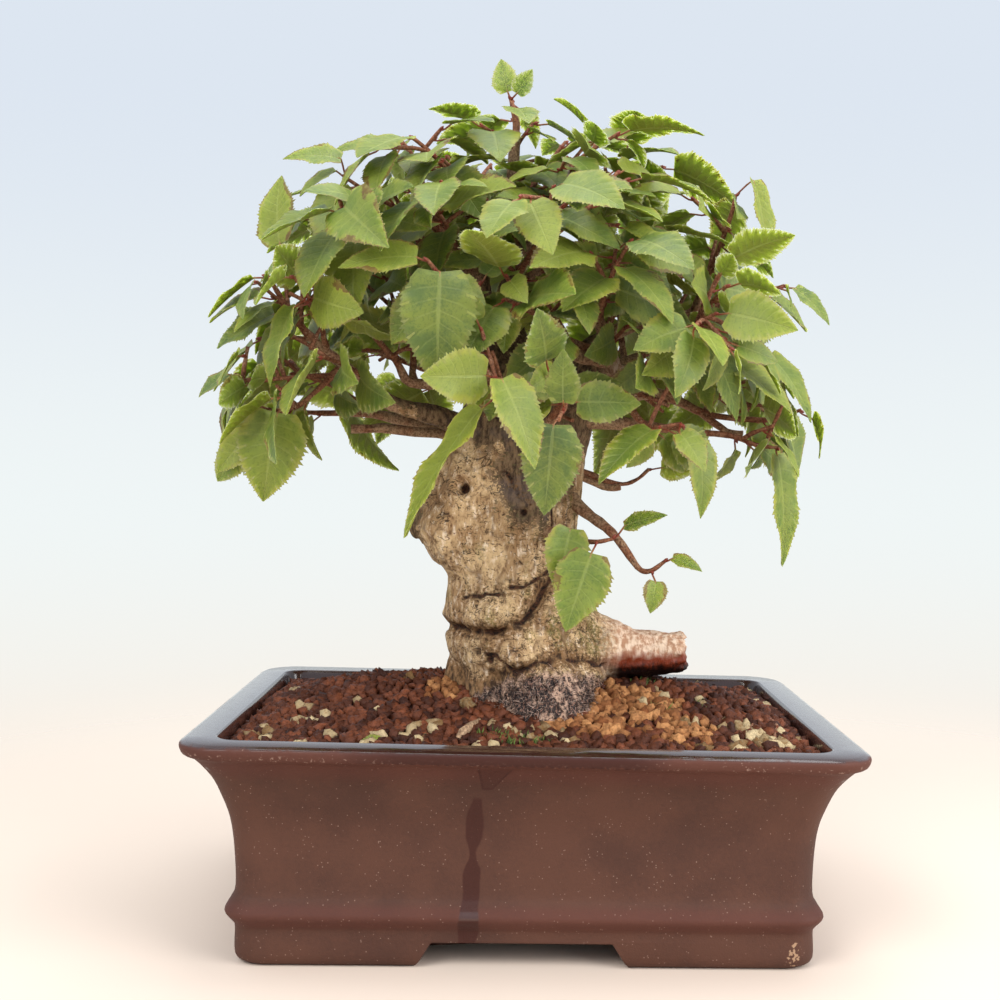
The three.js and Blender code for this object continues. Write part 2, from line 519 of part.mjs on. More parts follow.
// A tapering tube along points, grown by a margin for the hole that it stands in. Its first ring faces
// startAlong where that is given.
function tube(points, radii, sides, grow = 0, startAlong = null) {
  const line = points.map(vec);
  const steps = line.slice(1).map((p, i) => p.clone().sub(line[i]).normalize());
  line[0].addScaledVector(steps[0], -grow);
  line[line.length - 1].addScaledVector(steps[steps.length - 1], grow);
  const first = steps[0];
  const across = Math.abs(first.z) < 0.9 ? new THREE.Vector3(0, 0, 1) : new THREE.Vector3(1, 0, 0);
  let side = across.clone().addScaledVector(first, -across.dot(first)).normalize();
  const rings = line.map((centre, i) => {
    const before = steps[Math.max(0, i - 1)];
    const after = steps[Math.min(steps.length - 1, i)];
    const along = i === 0 && startAlong ? startAlong : before.clone().add(after).normalize();
    side = side.clone().addScaledVector(along, -side.dot(along)).normalize();
    const other = along.clone().cross(side);
    const ring = [];
    for (let k = 0; k < sides; k += 1) {
      const angle = (sides > 3 ? k + 0.5 : k) / sides * 2 * Math.PI;
      const reach = radii[i] + grow;
      ring.push(centre.clone().addScaledVector(side, reach * Math.cos(angle))
        .addScaledVector(other, reach * Math.sin(angle)));
    }
    return ring;
  });
  return loft(rings);
}

const taper = (count, from, to) =>
  Array.from({ length: count }, (_, i) => from + (to - from) * i / (count - 1));

// The bare trunk: rings with shallow ridges that run up it
function trunkRings(grow) {
  return TRUNK.map(([z, left, right, front, back], level) => {
    const ring = [];
    for (let k = 0; k < TRUNK_SIDES; k += 1) {
      const angle = k / TRUNK_SIDES * 2 * Math.PI;
      const c = Math.cos(angle);
      const s = Math.sin(angle);
      const broad = 0.06 * s * s * Math.sin(4 * angle + 0.09 * z);
      const ridge = 1 + broad + 0.03 * s * Math.sin(7 * angle - 0.13 * z);
      const reachX = ((right - left) / 2 + grow) * Math.sign(c) * Math.abs(c) ** 0.9;
      const reachY = (s < 0 ? grow - front : back + grow) * Math.sign(s) * Math.abs(s) ** 0.9;
      const lift = level === 0 ? -grow : 0;
      ring.push(new THREE.Vector3((left + right) / 2 + reachX * ridge, reachY * ridge, z + lift));
    }
    return ring;
  });
}

const woodSides = (radius) => (radius > 6 ? 6 : radius > 2.5 ? 5 : radius > 1.8 ? 4 : 3);

function makeTrunk(grow, rootsOnly) {
  const parts = [solid(loft(trunkRings(grow)))];
  for (const root of ROOTS) {
    parts.push(solid(tube(root.points, taper(root.points.length, root.from, root.to), root.sides, grow)));
  }
  if (!rootsOnly) {
    for (const branch of BRANCHES) {
      parts.push(solid(tube(branch.wood, woodRadii(branch), woodSides(branch.from))));
    }
    for (const stub of STUBS) {
      parts.push(solid(tube(stub.points, taper(stub.points.length, stub.from, stub.to), 4)));
    }
  }
  return wasm.Manifold.union(parts);
}

// Radii along the wood of a branch: it thins quickly at first and then slowly
function woodRadii(branch) {
  const last = branch.wood.length - 1;
  return branch.wood.map((_, i) => branch.to + (branch.from - branch.to) * (1 - i / last) ** WOOD_TAPER);
}

// Half-width of a leaf, from 0 to 1 of its half-width, at a share of its length
const leafHalf = (t) => LEAF_FULLNESS * (1 - t) ** LEAF_TIP * t ** LEAF_SHOULDER;

// Height of a leaf's middle surface over the plane of its base, along it and across it
function leafHeight(leaf, along, across) {
  const t = along / leaf.length;
  const half = leaf.width / 2;
  const edge = Math.abs(across) / half;
  const rib = -leaf.curl * leaf.length * t * t;
  const fold = leaf.fold * half * (edge - 0.55 * edge * edge);
  const wave = leaf.wave * edge * edge * Math.sin(9 * t + leaf.phase + (across > 0 ? 1.3 : 0));
  return rib + fold + wave;
}

const onLeaf = (leaf, along, across, lift = 0) => leaf.base.clone()
  .addScaledVector(leaf.ahead, along)
  .addScaledVector(leaf.side, across)
  .addScaledVector(leaf.up, leafHeight(leaf, along, across) + lift);

// The frame and bends of a leaf
function makeLeaf(root, base, ahead, face, length, width, random) {
  const up = face.clone().addScaledVector(ahead, -face.dot(ahead)).normalize();
  const side = up.clone().cross(ahead);
  const leaf = { root, base, ahead, up, side, length, width };
  leaf.curl = 0.1 + 0.24 * random();
  leaf.fold = 0.12 + 0.42 * random();
  leaf.wave = 0.03 * length * random();
  leaf.phase = 6.283 * random();
  leaf.samples = [];
  for (const t of BLADE_STATIONS) {
    for (const across of BLADE_ACROSS) {
      leaf.samples.push(onLeaf(leaf, t * length, across * leafHalf(t) * width / 2));
    }
  }
  return leaf;
}

// Whether a point with a radius comes too near to a leaf's blade
function nearBlade(leaf, point, radius, space) {
  const away = point.clone().sub(leaf.base);
  const along = away.dot(leaf.ahead);
  if (along < -1.5 - radius || along > leaf.length + 1.5 + radius) return false;
  const t = Math.min(0.97, Math.max(0.05, along / leaf.length));
  const across = away.dot(leaf.side);
  const half = leafHalf(t) * leaf.width / 2;
  if (Math.abs(across) > half + 1.3 + radius) return false;
  const held = Math.max(-half, Math.min(half, across));
  return Math.abs(away.dot(leaf.up) - leafHeight(leaf, t * leaf.length, held)) < space + radius;
}

const inBox = (point, [low, high]) =>
  ['x', 'y', 'z'].every((axis, i) => point[axis] > low[i] && point[axis] < high[i]);

// Whether a point is inside the crown's dome, which is round from above and falls away at its edges
function underDome(point) {
  const x = Math.abs(point.x - CROWN_CENTRE[0]) / DOME[0];
  const y = Math.abs(point.y - CROWN_CENTRE[1]) / DOME[1];
  const z = Math.max(0, point.z - CROWN_CENTRE[2]) / DOME[2];
  return point.z > CROWN_FLOOR && (x ** 3 + y ** 3) ** (2 / 3) + z * z < 1;
}

// Points with radii along every branch and twig, and down the middle of the trunk
function woodPoints() {
  const spots = [];
  const follow = (points, radii, name) => {
    for (let i = 0; i + 1 < points.length; i += 1) {
      const a = vec(points[i]);
      const b = vec(points[i + 1]);
      const count = Math.ceil(a.distanceTo(b) / WOOD_STEP);
      for (let k = 0; k < count; k += 1) {
        const share = k / count;
        const radius = radii[i] + (radii[i + 1] - radii[i]) * share;
        spots.push({ at: a.clone().lerp(b, share), radius, name });
      }
    }
    spots.push({ at: vec(points[points.length - 1]), radius: radii[radii.length - 1], name });
  };
  for (const branch of BRANCHES) {
    follow(branch.wood, woodRadii(branch), 'trunk');
    const twig = twigPoints(branch);
    follow(twig, taper(twig.length, branch.to, TWIG_END), branch.name);
  }
  for (const stub of STUBS) follow(stub.points, taper(stub.points.length, stub.from, stub.to), 'trunk');
  for (const [z, left, right, front, back] of TRUNK.slice(4)) {
    const reach = (back - front) / 2;
    for (const x of [left + reach, (left + right) / 2, right - reach]) {
      spots.push({ at: new THREE.Vector3(x, (front + back) / 2, z), radius: reach, name: 'trunk' });
    }
  }
  return spots;
}

const twigPoints = (branch) => [branch.wood[branch.wood.length - 1], ...branch.twig];

// The point and direction at a share of a line's length
function pointOn(points, share) {
  const line = points.map(vec);
  const lengths = line.slice(1).map((p, i) => p.distanceTo(line[i]));
  let left = share * lengths.reduce((sum, step) => sum + step, 0);
  for (let i = 0; i < lengths.length; i += 1) {
    if (left <= lengths[i] || i === lengths.length - 1) {
      const along = line[i + 1].clone().sub(line[i]).normalize();
      return { at: line[i].clone().addScaledVector(along, left), along };
    }
    left -= lengths[i];
  }
  return null;
}

// The share of a line's length that is nearest to a point
function nearestShare(points, target) {
  let best = 0;
  let bestDistance = Infinity;
  for (let k = 2; k <= 39; k += 1) {
    const distance = pointOn(points, k / 40).at.distanceTo(target);
    if (distance < bestDistance) {
      bestDistance = distance;
      best = k / 40;
    }
  }
  return best;
}

// One try at a leaf on a twig: which way it grows, hangs and faces follows from the draws
function tryLeaf(branch, number, index, attempt) {
  const random = randomFrom(index * 7919 + number * 131 + attempt * 17 + 5);
  const last = number === branch.leaves - 1;
  const { at, along } = pointOn(twigPoints(branch), last ? 0.96 : 0.12 + 0.8 * number / branch.leaves);
  const outward = at.clone().sub(vec(CROWN_CENTRE)).normalize();
  const skyward = new THREE.Vector3(0, 0, 1);
  const sideways = along.clone().cross(skyward).normalize().multiplyScalar(number % 2 ? 1 : -1);
  const stray = new THREE.Vector3(random() - 0.5, random() - 0.5, random() - 0.5);
  const loose = 0.5 + 0.06 * attempt;
  const ahead = along.clone().multiplyScalar(last ? 0.9 : 0.2 + 0.5 * random())
    .addScaledVector(sideways, last ? 0 : 0.5 + 0.5 * random())
    .addScaledVector(outward, 0.2)
    .addScaledVector(skyward, -0.35 - 0.8 * random())
    .addScaledVector(stray, loose)
    .normalize();
  const face = skyward.clone().multiplyScalar(0.25)
    .add(outward)
    .add(new THREE.Vector3(random() - 0.5, random() - 0.5, random() - 0.5).multiplyScalar(0.9));
  const shrink = SMALLER.find(([most]) => attempt < most)[1];
  const length = branch.size * (0.82 + 0.42 * random()) * shrink;
  const width = length * (0.68 + 0.16 * random());
  const stalk = along.clone().multiplyScalar(0.4).addScaledVector(ahead, 0.8).normalize();
  const base = at.clone().addScaledVector(stalk, 3 + 3 * random());
  return makeLeaf(at, base, ahead, face, length, width, random);
}

const stalkOf = (leaf) => STALK_SHARES.map((share) => leaf.root.clone().lerp(leaf.base, share));

// Whether a leaf is clear of the wood and of the leaves already placed
function leafFits(leaf, name, spots, placed) {
  for (const point of leaf.samples) {
    if (!underDome(point) || inBox(point, TRUNK_VIEW)) return false;
  }
  const middle = leaf.samples[BLADE_MIDDLE];
  const stalk = stalkOf(leaf);
  for (const spot of spots) {
    if (spot.at.distanceTo(middle) > spot.radius + leaf.length) continue;
    if (spot.name === name && spot.at.distanceTo(leaf.root) < 5) continue;
    if (nearBlade(leaf, spot.at, spot.radius, WOOD_SPACE)) return false;
    const reach = spot.radius + WOOD_SPACE;
    if (spot.name !== name && stalk.some((point) => point.distanceTo(spot.at) < reach)) return false;
  }
  for (const other of placed) {
    if (other.samples[BLADE_MIDDLE].distanceTo(middle) > leaf.length + other.length + 8) continue;
    if (other.samples.some((point) => nearBlade(leaf, point, 0, LEAF_SPACE))) return false;
    if (leaf.samples.some((point) => nearBlade(other, point, 0, LEAF_SPACE))) return false;
    if (stalk.some((point) => nearBlade(other, point, PETIOLE, WOOD_SPACE))) return false;
    if (stalkOf(other).some((point) => nearBlade(leaf, point, PETIOLE, WOOD_SPACE))) return false;
  }
  return true;
}

// Every leaf: first the leading ones, then the others in turn round the twigs
function placeLeaves() {
  const spots = woodPoints();
  const placed = [];
  LEADING_LEAVES.forEach((lead, index) => {
    const branch = BRANCHES.find((one) => one.name === lead.on);
    const twig = twigPoints(branch);
    const base = vec(lead.base);
    const tip = vec(lead.tip);
    const root = pointOn(twig, nearestShare(twig, base)).at;
    const ahead = tip.clone().sub(base);
    const length = ahead.length();
    const random = randomFrom(index + 900);
    const leaf = makeLeaf(root, base, ahead.normalize(), vec(lead.face), length, lead.width, random);
    placed.push({ ...leaf, name: branch.name });
  });
  const most = Math.max(...BRANCHES.map((branch) => branch.leaves));
  for (let turn = 0; turn < most; turn += 1) {
    BRANCHES.forEach((branch, index) => {
      const number = branch.leaves - 1 - turn;
      if (number < 0) return;
      for (let attempt = 0; attempt < TRIES; attempt += 1) {
        const leaf = tryLeaf(branch, number, index, attempt);
        if (leafFits(leaf, branch.name, spots, placed)) {
          placed.push({ ...leaf, name: branch.name });
          break;
        }
      }
    });
  }
  return placed;
}

// Triangles between a leaf's rib and one margin, both running from the base to the shared tip
function ribToMargin(rib, margin, flip, faces) {
  let i = 0;
  let j = 0;
  while (i + 1 < rib.length || j + 1 < margin.length) {
    const nextRib = i + 1 < rib.length ? rib[i + 1].t : 9;
    const nextMargin = j + 1 < margin.length ? margin[j + 1].t : 9;
    let face;
    if (nextMargin <= nextRib) {
      face = [rib[i].id, margin[j].id, margin[j + 1].id];
      j += 1;
    } else {
      face = [rib[i].id, margin[j].id, rib[i + 1].id];
      i += 1;
    }
    if (new Set(face).size === 3) faces.push(flip ? [face[0], face[2], face[1]] : face);
  }
}

// One leaf with its petiole as a closed body: both faces share the toothed margin
function leafBody(leaf) {
  const points = [];
  const faces = [];
  const add = (point, t) => {
    points.push(point);
    return { id: points.length - 1, t };
  };
  const large = leaf.length > LONG_LEAF;
  const stations = large ? [0.1, 0.22, 0.36, 0.48, 0.62, 0.72, 0.86] : [0.12, 0.3, 0.44, 0.6, 0.76];
  const ribs = large ? [0.36, 0.7] : [0.45];
  const stalk = leaf.base.clone().sub(leaf.root).normalize();
  const ring = (centre, along) => {
    const side = leaf.side.clone().addScaledVector(along, -leaf.side.dot(along)).normalize();
    const up = along.clone().cross(side);
    return [
      centre.clone().addScaledVector(side, -PETIOLE).addScaledVector(up, -PETIOLE * 0.6),
      centre.clone().addScaledVector(side, PETIOLE).addScaledVector(up, -PETIOLE * 0.6),
      centre.clone().addScaledVector(up, PETIOLE),
    ];
  };
  const neck = stalk.clone().add(leaf.ahead).normalize();
  const [left, right, top] = ring(leaf.base, neck).map((p) => add(p, 0));
  const [rootLeft, rootRight, rootTop] = ring(leaf.root, neck).map((p) => add(p, 0).id);
  const tip = add(onLeaf(leaf, leaf.length, 0), 1);
  const margin = (sign) => stations.map((t, i) => {
    const tooth = i % 2 ? TOOTH_IN : TOOTH_OUT;
    const lean = i % 2 ? 0 : TOOTH_LEAN;
    return add(onLeaf(leaf, (t + lean) * leaf.length, sign * tooth * leafHalf(t) * leaf.width / 2), t);
  });
  const leftMargin = [left, ...margin(-1), tip];
  const rightMargin = [right, ...margin(1), tip];
  const upper = ribs.map((t) => add(onLeaf(leaf, t * leaf.length, 0, RIB_THICKNESS / 2), t));
  const lower = ribs.map((t) => add(onLeaf(leaf, t * leaf.length, 0, -RIB_THICKNESS / 2), t));
  ribToMargin([top, ...upper, tip], leftMargin, false, faces);
  ribToMargin([top, ...upper, tip], rightMargin, true, faces);
  ribToMargin([left, ...lower, tip], leftMargin, true, faces);
  ribToMargin([right, ...lower, tip], rightMargin, false, faces);
  faces.push([left.id, right.id, lower[0].id]);
  const from = [rootLeft, rootRight, rootTop];
  const to = [left.id, right.id, top.id];
  for (let k = 0; k < 3; k += 1) {
    const next = (k + 1) % 3;
    faces.push([from[k], from[next], to[next]], [from[k], to[next], to[k]]);
  }
  faces.push([rootLeft, rootTop, rootRight]);
  return bodyOf(points, faces);
}

// A leafy twig: the twig with its leaves fused to it
function makeSpray(branch, leaves) {
  const twig = twigPoints(branch);
  const ahead = vec(twig[0]).sub(vec(branch.wood[branch.wood.length - 2])).normalize();
  twig[0] = vec(twig[0]).addScaledVector(ahead, GAP).toArray();
  const parts = [solid(tube(twig, taper(twig.length, branch.to * 1.2, TWIG_END * 1.3), 3, 0, ahead))];
  for (const leaf of leaves) parts.push(solid(leafBody(leaf)));
  return geometryOf(wasm.Manifold.union(parts));
}

const STONEWARE = { color: 0x64483c, roughness: 0.6, metalness: 0 };
const PLASTIC = { color: 0x1c1c1c, roughness: 0.6, metalness: 0 };
const AKADAMA = { color: 0x6e3a24, roughness: 0.95, metalness: 0 };
const BARK = { color: 0xb8a284, roughness: 0.85, metalness: 0 };
const LEAF = { color: 0x6f8f4a, roughness: 0.5, metalness: 0 };

const bonsai = new THREE.Group();
function addNode(name, geometry, look) {
  const mesh = new THREE.Mesh(geometry, new THREE.MeshStandardMaterial(look));
  mesh.name = name;
  bonsai.add(mesh);
}

addNode('pot', makePot(), STONEWARE);
addNode('drain_mesh_left', makeDrainMesh(-1), PLASTIC);
addNode('drain_mesh_right', makeDrainMesh(1), PLASTIC);
addNode('soil', makeSoil(makeTrunk(SOCKET_GAP, true)), AKADAMA);
addNode('trunk', geometryOf(makeTrunk(0, false)), BARK);
const leaves = placeLeaves();
for (const branch of BRANCHES) {
  const own = leaves.filter((leaf) => leaf.name === branch.name);
  addNode(`spray_${branch.name}`, makeSpray(branch, own), LEAF);
}

export default bonsai;
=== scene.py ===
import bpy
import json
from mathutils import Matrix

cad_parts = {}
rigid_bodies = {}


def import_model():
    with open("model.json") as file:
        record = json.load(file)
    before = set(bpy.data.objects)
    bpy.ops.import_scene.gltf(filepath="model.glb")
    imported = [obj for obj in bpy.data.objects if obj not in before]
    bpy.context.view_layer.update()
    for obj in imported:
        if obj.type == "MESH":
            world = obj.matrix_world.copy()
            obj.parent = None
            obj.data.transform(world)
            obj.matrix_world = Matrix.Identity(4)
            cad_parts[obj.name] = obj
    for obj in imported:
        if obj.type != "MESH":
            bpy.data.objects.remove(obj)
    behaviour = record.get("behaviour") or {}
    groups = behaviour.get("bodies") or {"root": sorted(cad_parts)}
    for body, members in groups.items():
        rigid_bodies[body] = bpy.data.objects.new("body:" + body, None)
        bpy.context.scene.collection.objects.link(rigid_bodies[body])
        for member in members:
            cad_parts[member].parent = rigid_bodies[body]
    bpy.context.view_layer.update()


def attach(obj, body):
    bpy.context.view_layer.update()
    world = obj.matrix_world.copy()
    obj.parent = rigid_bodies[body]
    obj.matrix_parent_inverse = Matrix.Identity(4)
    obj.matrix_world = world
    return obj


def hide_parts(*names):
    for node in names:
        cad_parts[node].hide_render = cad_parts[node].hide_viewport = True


bl_info = {
    "name": "Korean Hornbeam Bonsai",
    "version": (1, 0, 0),
    "blender": (4, 5, 0),
    "location": "3D View > Sidebar > Bonsai",
    "description": "Dresses a hornbeam bonsai and its stoneware pot over their fixed frame",
    "category": "Add Mesh",
}

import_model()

import json
import math
from typing import NamedTuple

import bpy
import numpy as np
from bpy.props import FloatProperty, FloatVectorProperty, IntProperty, PointerProperty
from mathutils import Matrix, Vector, noise

# Lengths in this file are in millimetres, and a mesh is made in metres
MM = 0.001

# How far from the middle the floor starts to fade, how far it reaches, and its sides
FLOOR_SOLID = 120
FLOOR_REACH = 700
FLOOR_SIDES = 96

# The photograph's view: place, turn, tilt and roll in degrees, lens and sensor
CAMERA_PLACE = (-3.6, -445.9, 147.8)
CAMERA_ANGLES = (-0.56, 1.58, 0.25)
CAMERA_LENS = 47.93
CAMERA_SENSOR = 36

# The pot, as in the part's source
POT_LENGTH = 200
POT_DEPTH = 150
POT_CORNER = 13
POT_SLANT = 0.024
FLOOR_TOP = 14
FOOT_HEIGHT = 7.5
FOOT_WIDTH = 12
FOOT_GAP_LONG = (-32, 31)
FOOT_GAP_SHORT = (-16, 16)
FOOT_SLOPE = 5
CUT_STEP = 0.05
DRAIN_RADIUS = 10
DRAIN_X = 45
CORNER_SHRINK = 0.35
INNER_CORNER_LESS = 2
# Height and half-length of the outer wall at each level
OUTER_WALL = [
    [0, 83.6], [2.4, 85.9], [10, 85.9], [12, 86.6], [15.3, 88.6], [18.6, 86.9], [22, 85.7],
    [33, 86], [42, 87.1], [49.4, 89.5], [55, 92], [60.7, 96.4], [62.6, 99.3], [65.3, 100], [66.5, 98.2],
]
# The inner wall in the same way, and half-length and half-depth where its wet slope begins
INNER_WALL = [[66.4, 91], [65, 89.6], [50, 87.4], [30, 84], [17, 80.5], [FLOOR_TOP, 77]]
INSIDE_X = 91.5
INSIDE_Y = 66.5
# Height of the bead, angles in degrees past which edges are rounded and shaded sharp, sides of a drain hole
BEAD = 15
ROUND_EDGE = 50
SHARP_EDGE = 40
DRAIN_SIDES = 40

# The soil
GAP = 0.3
SOIL_EDGE = 62.6
SOIL_CROWN = 14
SOIL_REACH_X = 88
SOIL_REACH_Y = 62
RIDGE_ROUND = 6
BED_DROP = 1.2
# Where pale grit lies among the soil: x, y and reach
PUMICE_SPOTS = [
    (-78, -44, 6), (-63, -53, 6), (-57, -47, 4), (-48, -54, 5), (-33, -51, 7), (-30, -41, 4),
    (-11, -53, 6), (-2, -40, 4), (2, -47, 5), (8, -39, 4), (10, -47, 5), (-9, -36, 3), (-17, -21, 4),
    (40, -20, 4), (44, -10, 4), (57, -14, 4), (67, -30, 6), (67, -46, 7), (73, -40, 7), (79, -44, 6),
    (52, -34, 5), (60, -50, 6), (84, -30, 5), (70, -14, 5), (-70, -20, 4), (-44, -26, 4),
    (-60, 30, 5), (-20, 48, 6), (30, 50, 6), (66, 40, 6), (-78, 10, 4), (80, 12, 4),
]
# Where dry, lighter soil was strewn
DRY_SPOTS = [
    (28, -18, 15), (40, -22, 14), (24, -36, 12), (48, -38, 14), (12, -38, 8), (-26, -14, 8), (20, 38, 14),
]
# Where moss grows
MOSS_SPOTS = [
    (-7, -46, 4), (-2, -50, 4), (3, -50, 3), (44, -22, 3),
    (40, -5, 4), (57, -17, 2), (-20, 30, 5), (16, 44, 4),
]
# The surface for grains and moss: distance from the wall, depth under the soil's top, and rings
GROUND_INSET = 2.2
GROUND_DROP = 0.55
GROUND_RINGS = 44
BED_RINGS = 30
BED_LEVELS = (17, 30, 50)
# Steps round each corner and along each side of a ring in the soil
SOIL_STEPS = (6, 24)
# How many shapes of grain there are
GRAIN_SHAPES = 5

# A full turn in radians, as rounded in the part's source
FULL_TURN = 6.283

# Height, left, right, front and back of the trunk at each level, as in the part's source
TRUNK = [
    [44, -13, 14, -12, 12], [60, -15, 19, -17, 17], [70, -18, 25, -22, 20], [78, -21, 28, -25, 22],
    [86, -25, 25, -26, 22], [93.5, -25.6, 23, -23, 21], [98, -26.4, 22.5, -25, 21],
    [110, -25.3, 20.5, -23, 20], [116, -30.6, 19, -22.5, 20],
    [122, -33.8, 18, -22, 20], [126.5, -37, 18, -22, 20], [132.5, -34.2, 18.5, -22, 20],
    [140, -31.8, 19.4, -21, 20], [147, -30.4, 20, -20, 20], [153, -26, 21, -19, 19],
    [160, -22, 23, -18, 19], [168, -20, 24, -17, 18], [175, -18.5, 21, -14, 17],
    [182, -16, 14, -9, 14], [190, -14, 3, -4, 11],
]

# Stump of a cut root, and roots that flare into the soil: start and end radius, then the points
ROOTS = [
    (11, 6.6, [[8, 2, 86], [24, 0, 85], [38, 0, 84.2], [54, 0, 84.5]]),
    (9, 21, [[5, -11, 90], [6, -15, 77], [7, -18, 60]]),
    (10, 8, [[-9, -9, 90], [-10, -14, 74], [-12, -18, 60]]),
    (11, 8, [[-12, 0, 88], [-17, -3, 74], [-22, -5, 60]]),
    (11, 8, [[-10, 9, 90], [-14, 15, 74], [-18, 20, 60]]),
    (11, 8, [[9, 10, 90], [13, 17, 75], [17, 22, 60]]),
]
# Stubs of cut branches, in the same way
STUBS = [
    (1.8, 1.6, [[-14, 7, 156], [-43, 2, 159], [-58, 0, 159]]),
    (2.2, 1.9, [[26, -24, 180], [17, -31, 181], [11, -35, 183]]),
    (1.3, 1.1, [[60, 6, 165], [68, 2, 159], [73, 0, 158]]),
    (1.2, 1.1, [[12, 8, 147], [27, 9, 140], [33, 8, 140]]),
]

# Wood that rounds the corner between the trunk and the stump
STUMP_THROAT = (9, 6.4, [[12, 0, 96], [22, 0, 91.5], [34, 0, 87]])

# Wood thinner than this is a tube of its own, thicker wood is fused with the trunk
THIN_WOOD = 2.6
# Steps of a branch's curve between two of its points
WOOD_STEPS = 4

# Branches: sides of thick and thin ones, the radius between them, knobs and the angle of sharp edges
THICK_SIDES = 10
THIN_SIDES = 8
THICK_BRANCH = 1.9
BRANCH_KNOBS = 0.35
BRANCH_EDGE = 50
TWIG_SIDES = 7
TWIG_KNOBS = 0.3

# Folds in the bark of the front: depth and reach, then x and z along the fold
FOLDS = [
    (1.9, 1.5, [(-30, 95), (-24, 94), (-14, 93.3), (-8, 94.5), (0, 97.5), (4, 103), (7, 109), (11, 114)]),
    (1.3, 1.2, [(-2, 81.5), (3, 84.5), (7, 86.5), (15, 85), (26, 81.5)]),
    (0.7, 1.2, [(-19, 105), (-8, 107), (2, 109.5), (9, 114)]),
    (0.8, 1.1, [(-12, 88), (-6, 84), (-1, 80)]),
    (0.6, 1.0, [(6, 120), (9, 128), (8, 136), (11, 146)]),
    (0.6, 1.1, [(-6, 146), (-3, 139), (2, 135)]),
]
# Holes in the bark of the front: x, z, radius, depth and height of the lip
HOLES = [
    (-19.6, 139.9, 2.1, 4.2, 0.9), (-0.1, 132, 1.5, 2.4, 0.8), (-10.8, 84.9, 1.5, 1.4, 0.2),
    (-15, 87, 1.7, 1.2, 0.2), (-13, 143, 1.2, 1.2, 0.2), (-27, 135, 1.2, 0.9, 0.1),
    (-26, 115, 1.3, 1.0, 0.1), (-8, 89, 1.5, 0.8, 0.1),
]
# A fold in the bark of the back, and the line under which the front is covered with root hairs
BACK_FOLD = [(-30, 100), (-10, 104), (6, 98), (30, 96)]
ROOT_LINE_X = [-30, -14, -4, 8, 22, 30, 60]
ROOT_LINE_Z = [70, 76, 81, 84, 81, 76, 60]
# Sides of the trunk's rings and limbs, and the grain of the mesh that fuses them
TRUNK_SIDES = 48
LIMB_SIDES = 16
ROOT_SIDES = 24
FUSED_GRAIN = 0.75

# The crown, as in the part's source: how it is bounded, how a leaf is formed and how near leaves may grow
CROWN_CENTRE = np.array([-2.0, 0.0, 186.0])
LEAF_FULLNESS = 2.41
LEAF_TIP = 0.95
LEAF_SHOULDER = 0.45
PETIOLE = 0.46
LEAF_SPACE = 2.6
WOOD_SPACE = 1.3
TRIES = 30
TWIG_END = 0.6
WOOD_TAPER = 1.6
DOME = np.array([100.0, 75.0, 84.0])
CROWN_FLOOR = 140
TRUNK_VIEW = (np.array([-60, -80, 90]), np.array([24, 6, 160]))
BLADE_STATIONS = (0.08, 0.26, 0.44, 0.62, 0.8, 0.97)
BLADE_ACROSS = (-0.9, -0.45, 0, 0.45, 0.9)
BLADE_MIDDLE = 12
END_ROOM = 1.5
SIDE_ROOM = 1.3
SMALLER = ((12, 1), (21, 0.78), (TRIES, 0.58))
STALK_SHARES = np.array([[0.35], [0.7], [1.0]])
WOOD_STEP = 3
# A leaf takes no notice of its own wood this near to its root, and of leaves that are farther off than this
OWN_WOOD = 5
FAR_OFF = 8
# Where the numbers that bend a blade start in its row, after its base and frame; the first is its length
BENDS_AT = 12

# Short side shoots and small leaves that fill the crown between the part's own leafy twigs
SHOOTS = 4
LEADER_SHOOTS = 14
SHOOT_LEAVES = 4
SHOOT_SIZES = (15, 22)
SHOOT_LENGTHS = (9, 20)
SHOOT_TRIES = 10
SHOOT_APART = 7
SHOOT_SPACE = 1.2
SHOOT_WOOD_SPACE = 3
SHOOT_ROOM = 1.12
SMALL_LEAVES = 2
SMALL_SHARE = 0.58
CLOSE_SPACE = 0.9
CLOSE_WOOD_SPACE = 0.5
CLOSE_TRIES = 16
LONG_LEAF = 20
MOST_LEAVES = 2000
# The branches under the crown, which get no added leaves
UNDER_CROWN = "low"
# Boxes where branches show, so that no leaves are added there
BARE_WOOD = (
    (np.array([-72, -80, 140]), np.array([-20, 80, 182])),
    (np.array([20, -80, 140]), np.array([70, 80, 165])),
)

# Leaves: side veins of long and short ones, sides of petioles and buds, and the angle of sharp edges
LONG_VEINS = 9
SHORT_VEINS = 6
PETIOLE_SIDES = 5
BUD_SIDES = 6
LEAF_EDGE = 62

# Teeth along two rows of a leaf's edge: share of the half-width, and how far each leans to the tip
TEETH = ((1.08, 0.03), (0.93, 0.0), (1.0, 0.013), (0.93, 0.0), (0.99, 0.013), (0.92, 0.0))
# Height of the folds between side veins, up and down, and thickness of a blade's upper and lower half
PUFF_UP = 0.2
PUFF_DOWN = -0.18
UPPER_SKIN = 0.1
LOWER_SKIN = -0.12


class Branch(NamedTuple):
    """Radii where a branch and its twig start, number and length of its leaves, and the points of both"""

    name: str
    group: str
    start: float
    end: float
    leaves: int
    size: float
    wood: list
    twig: list

    def leafy(self):
        """Points of the twig from where it leaves the wood"""
        return [self.wood[-1], *self.twig]


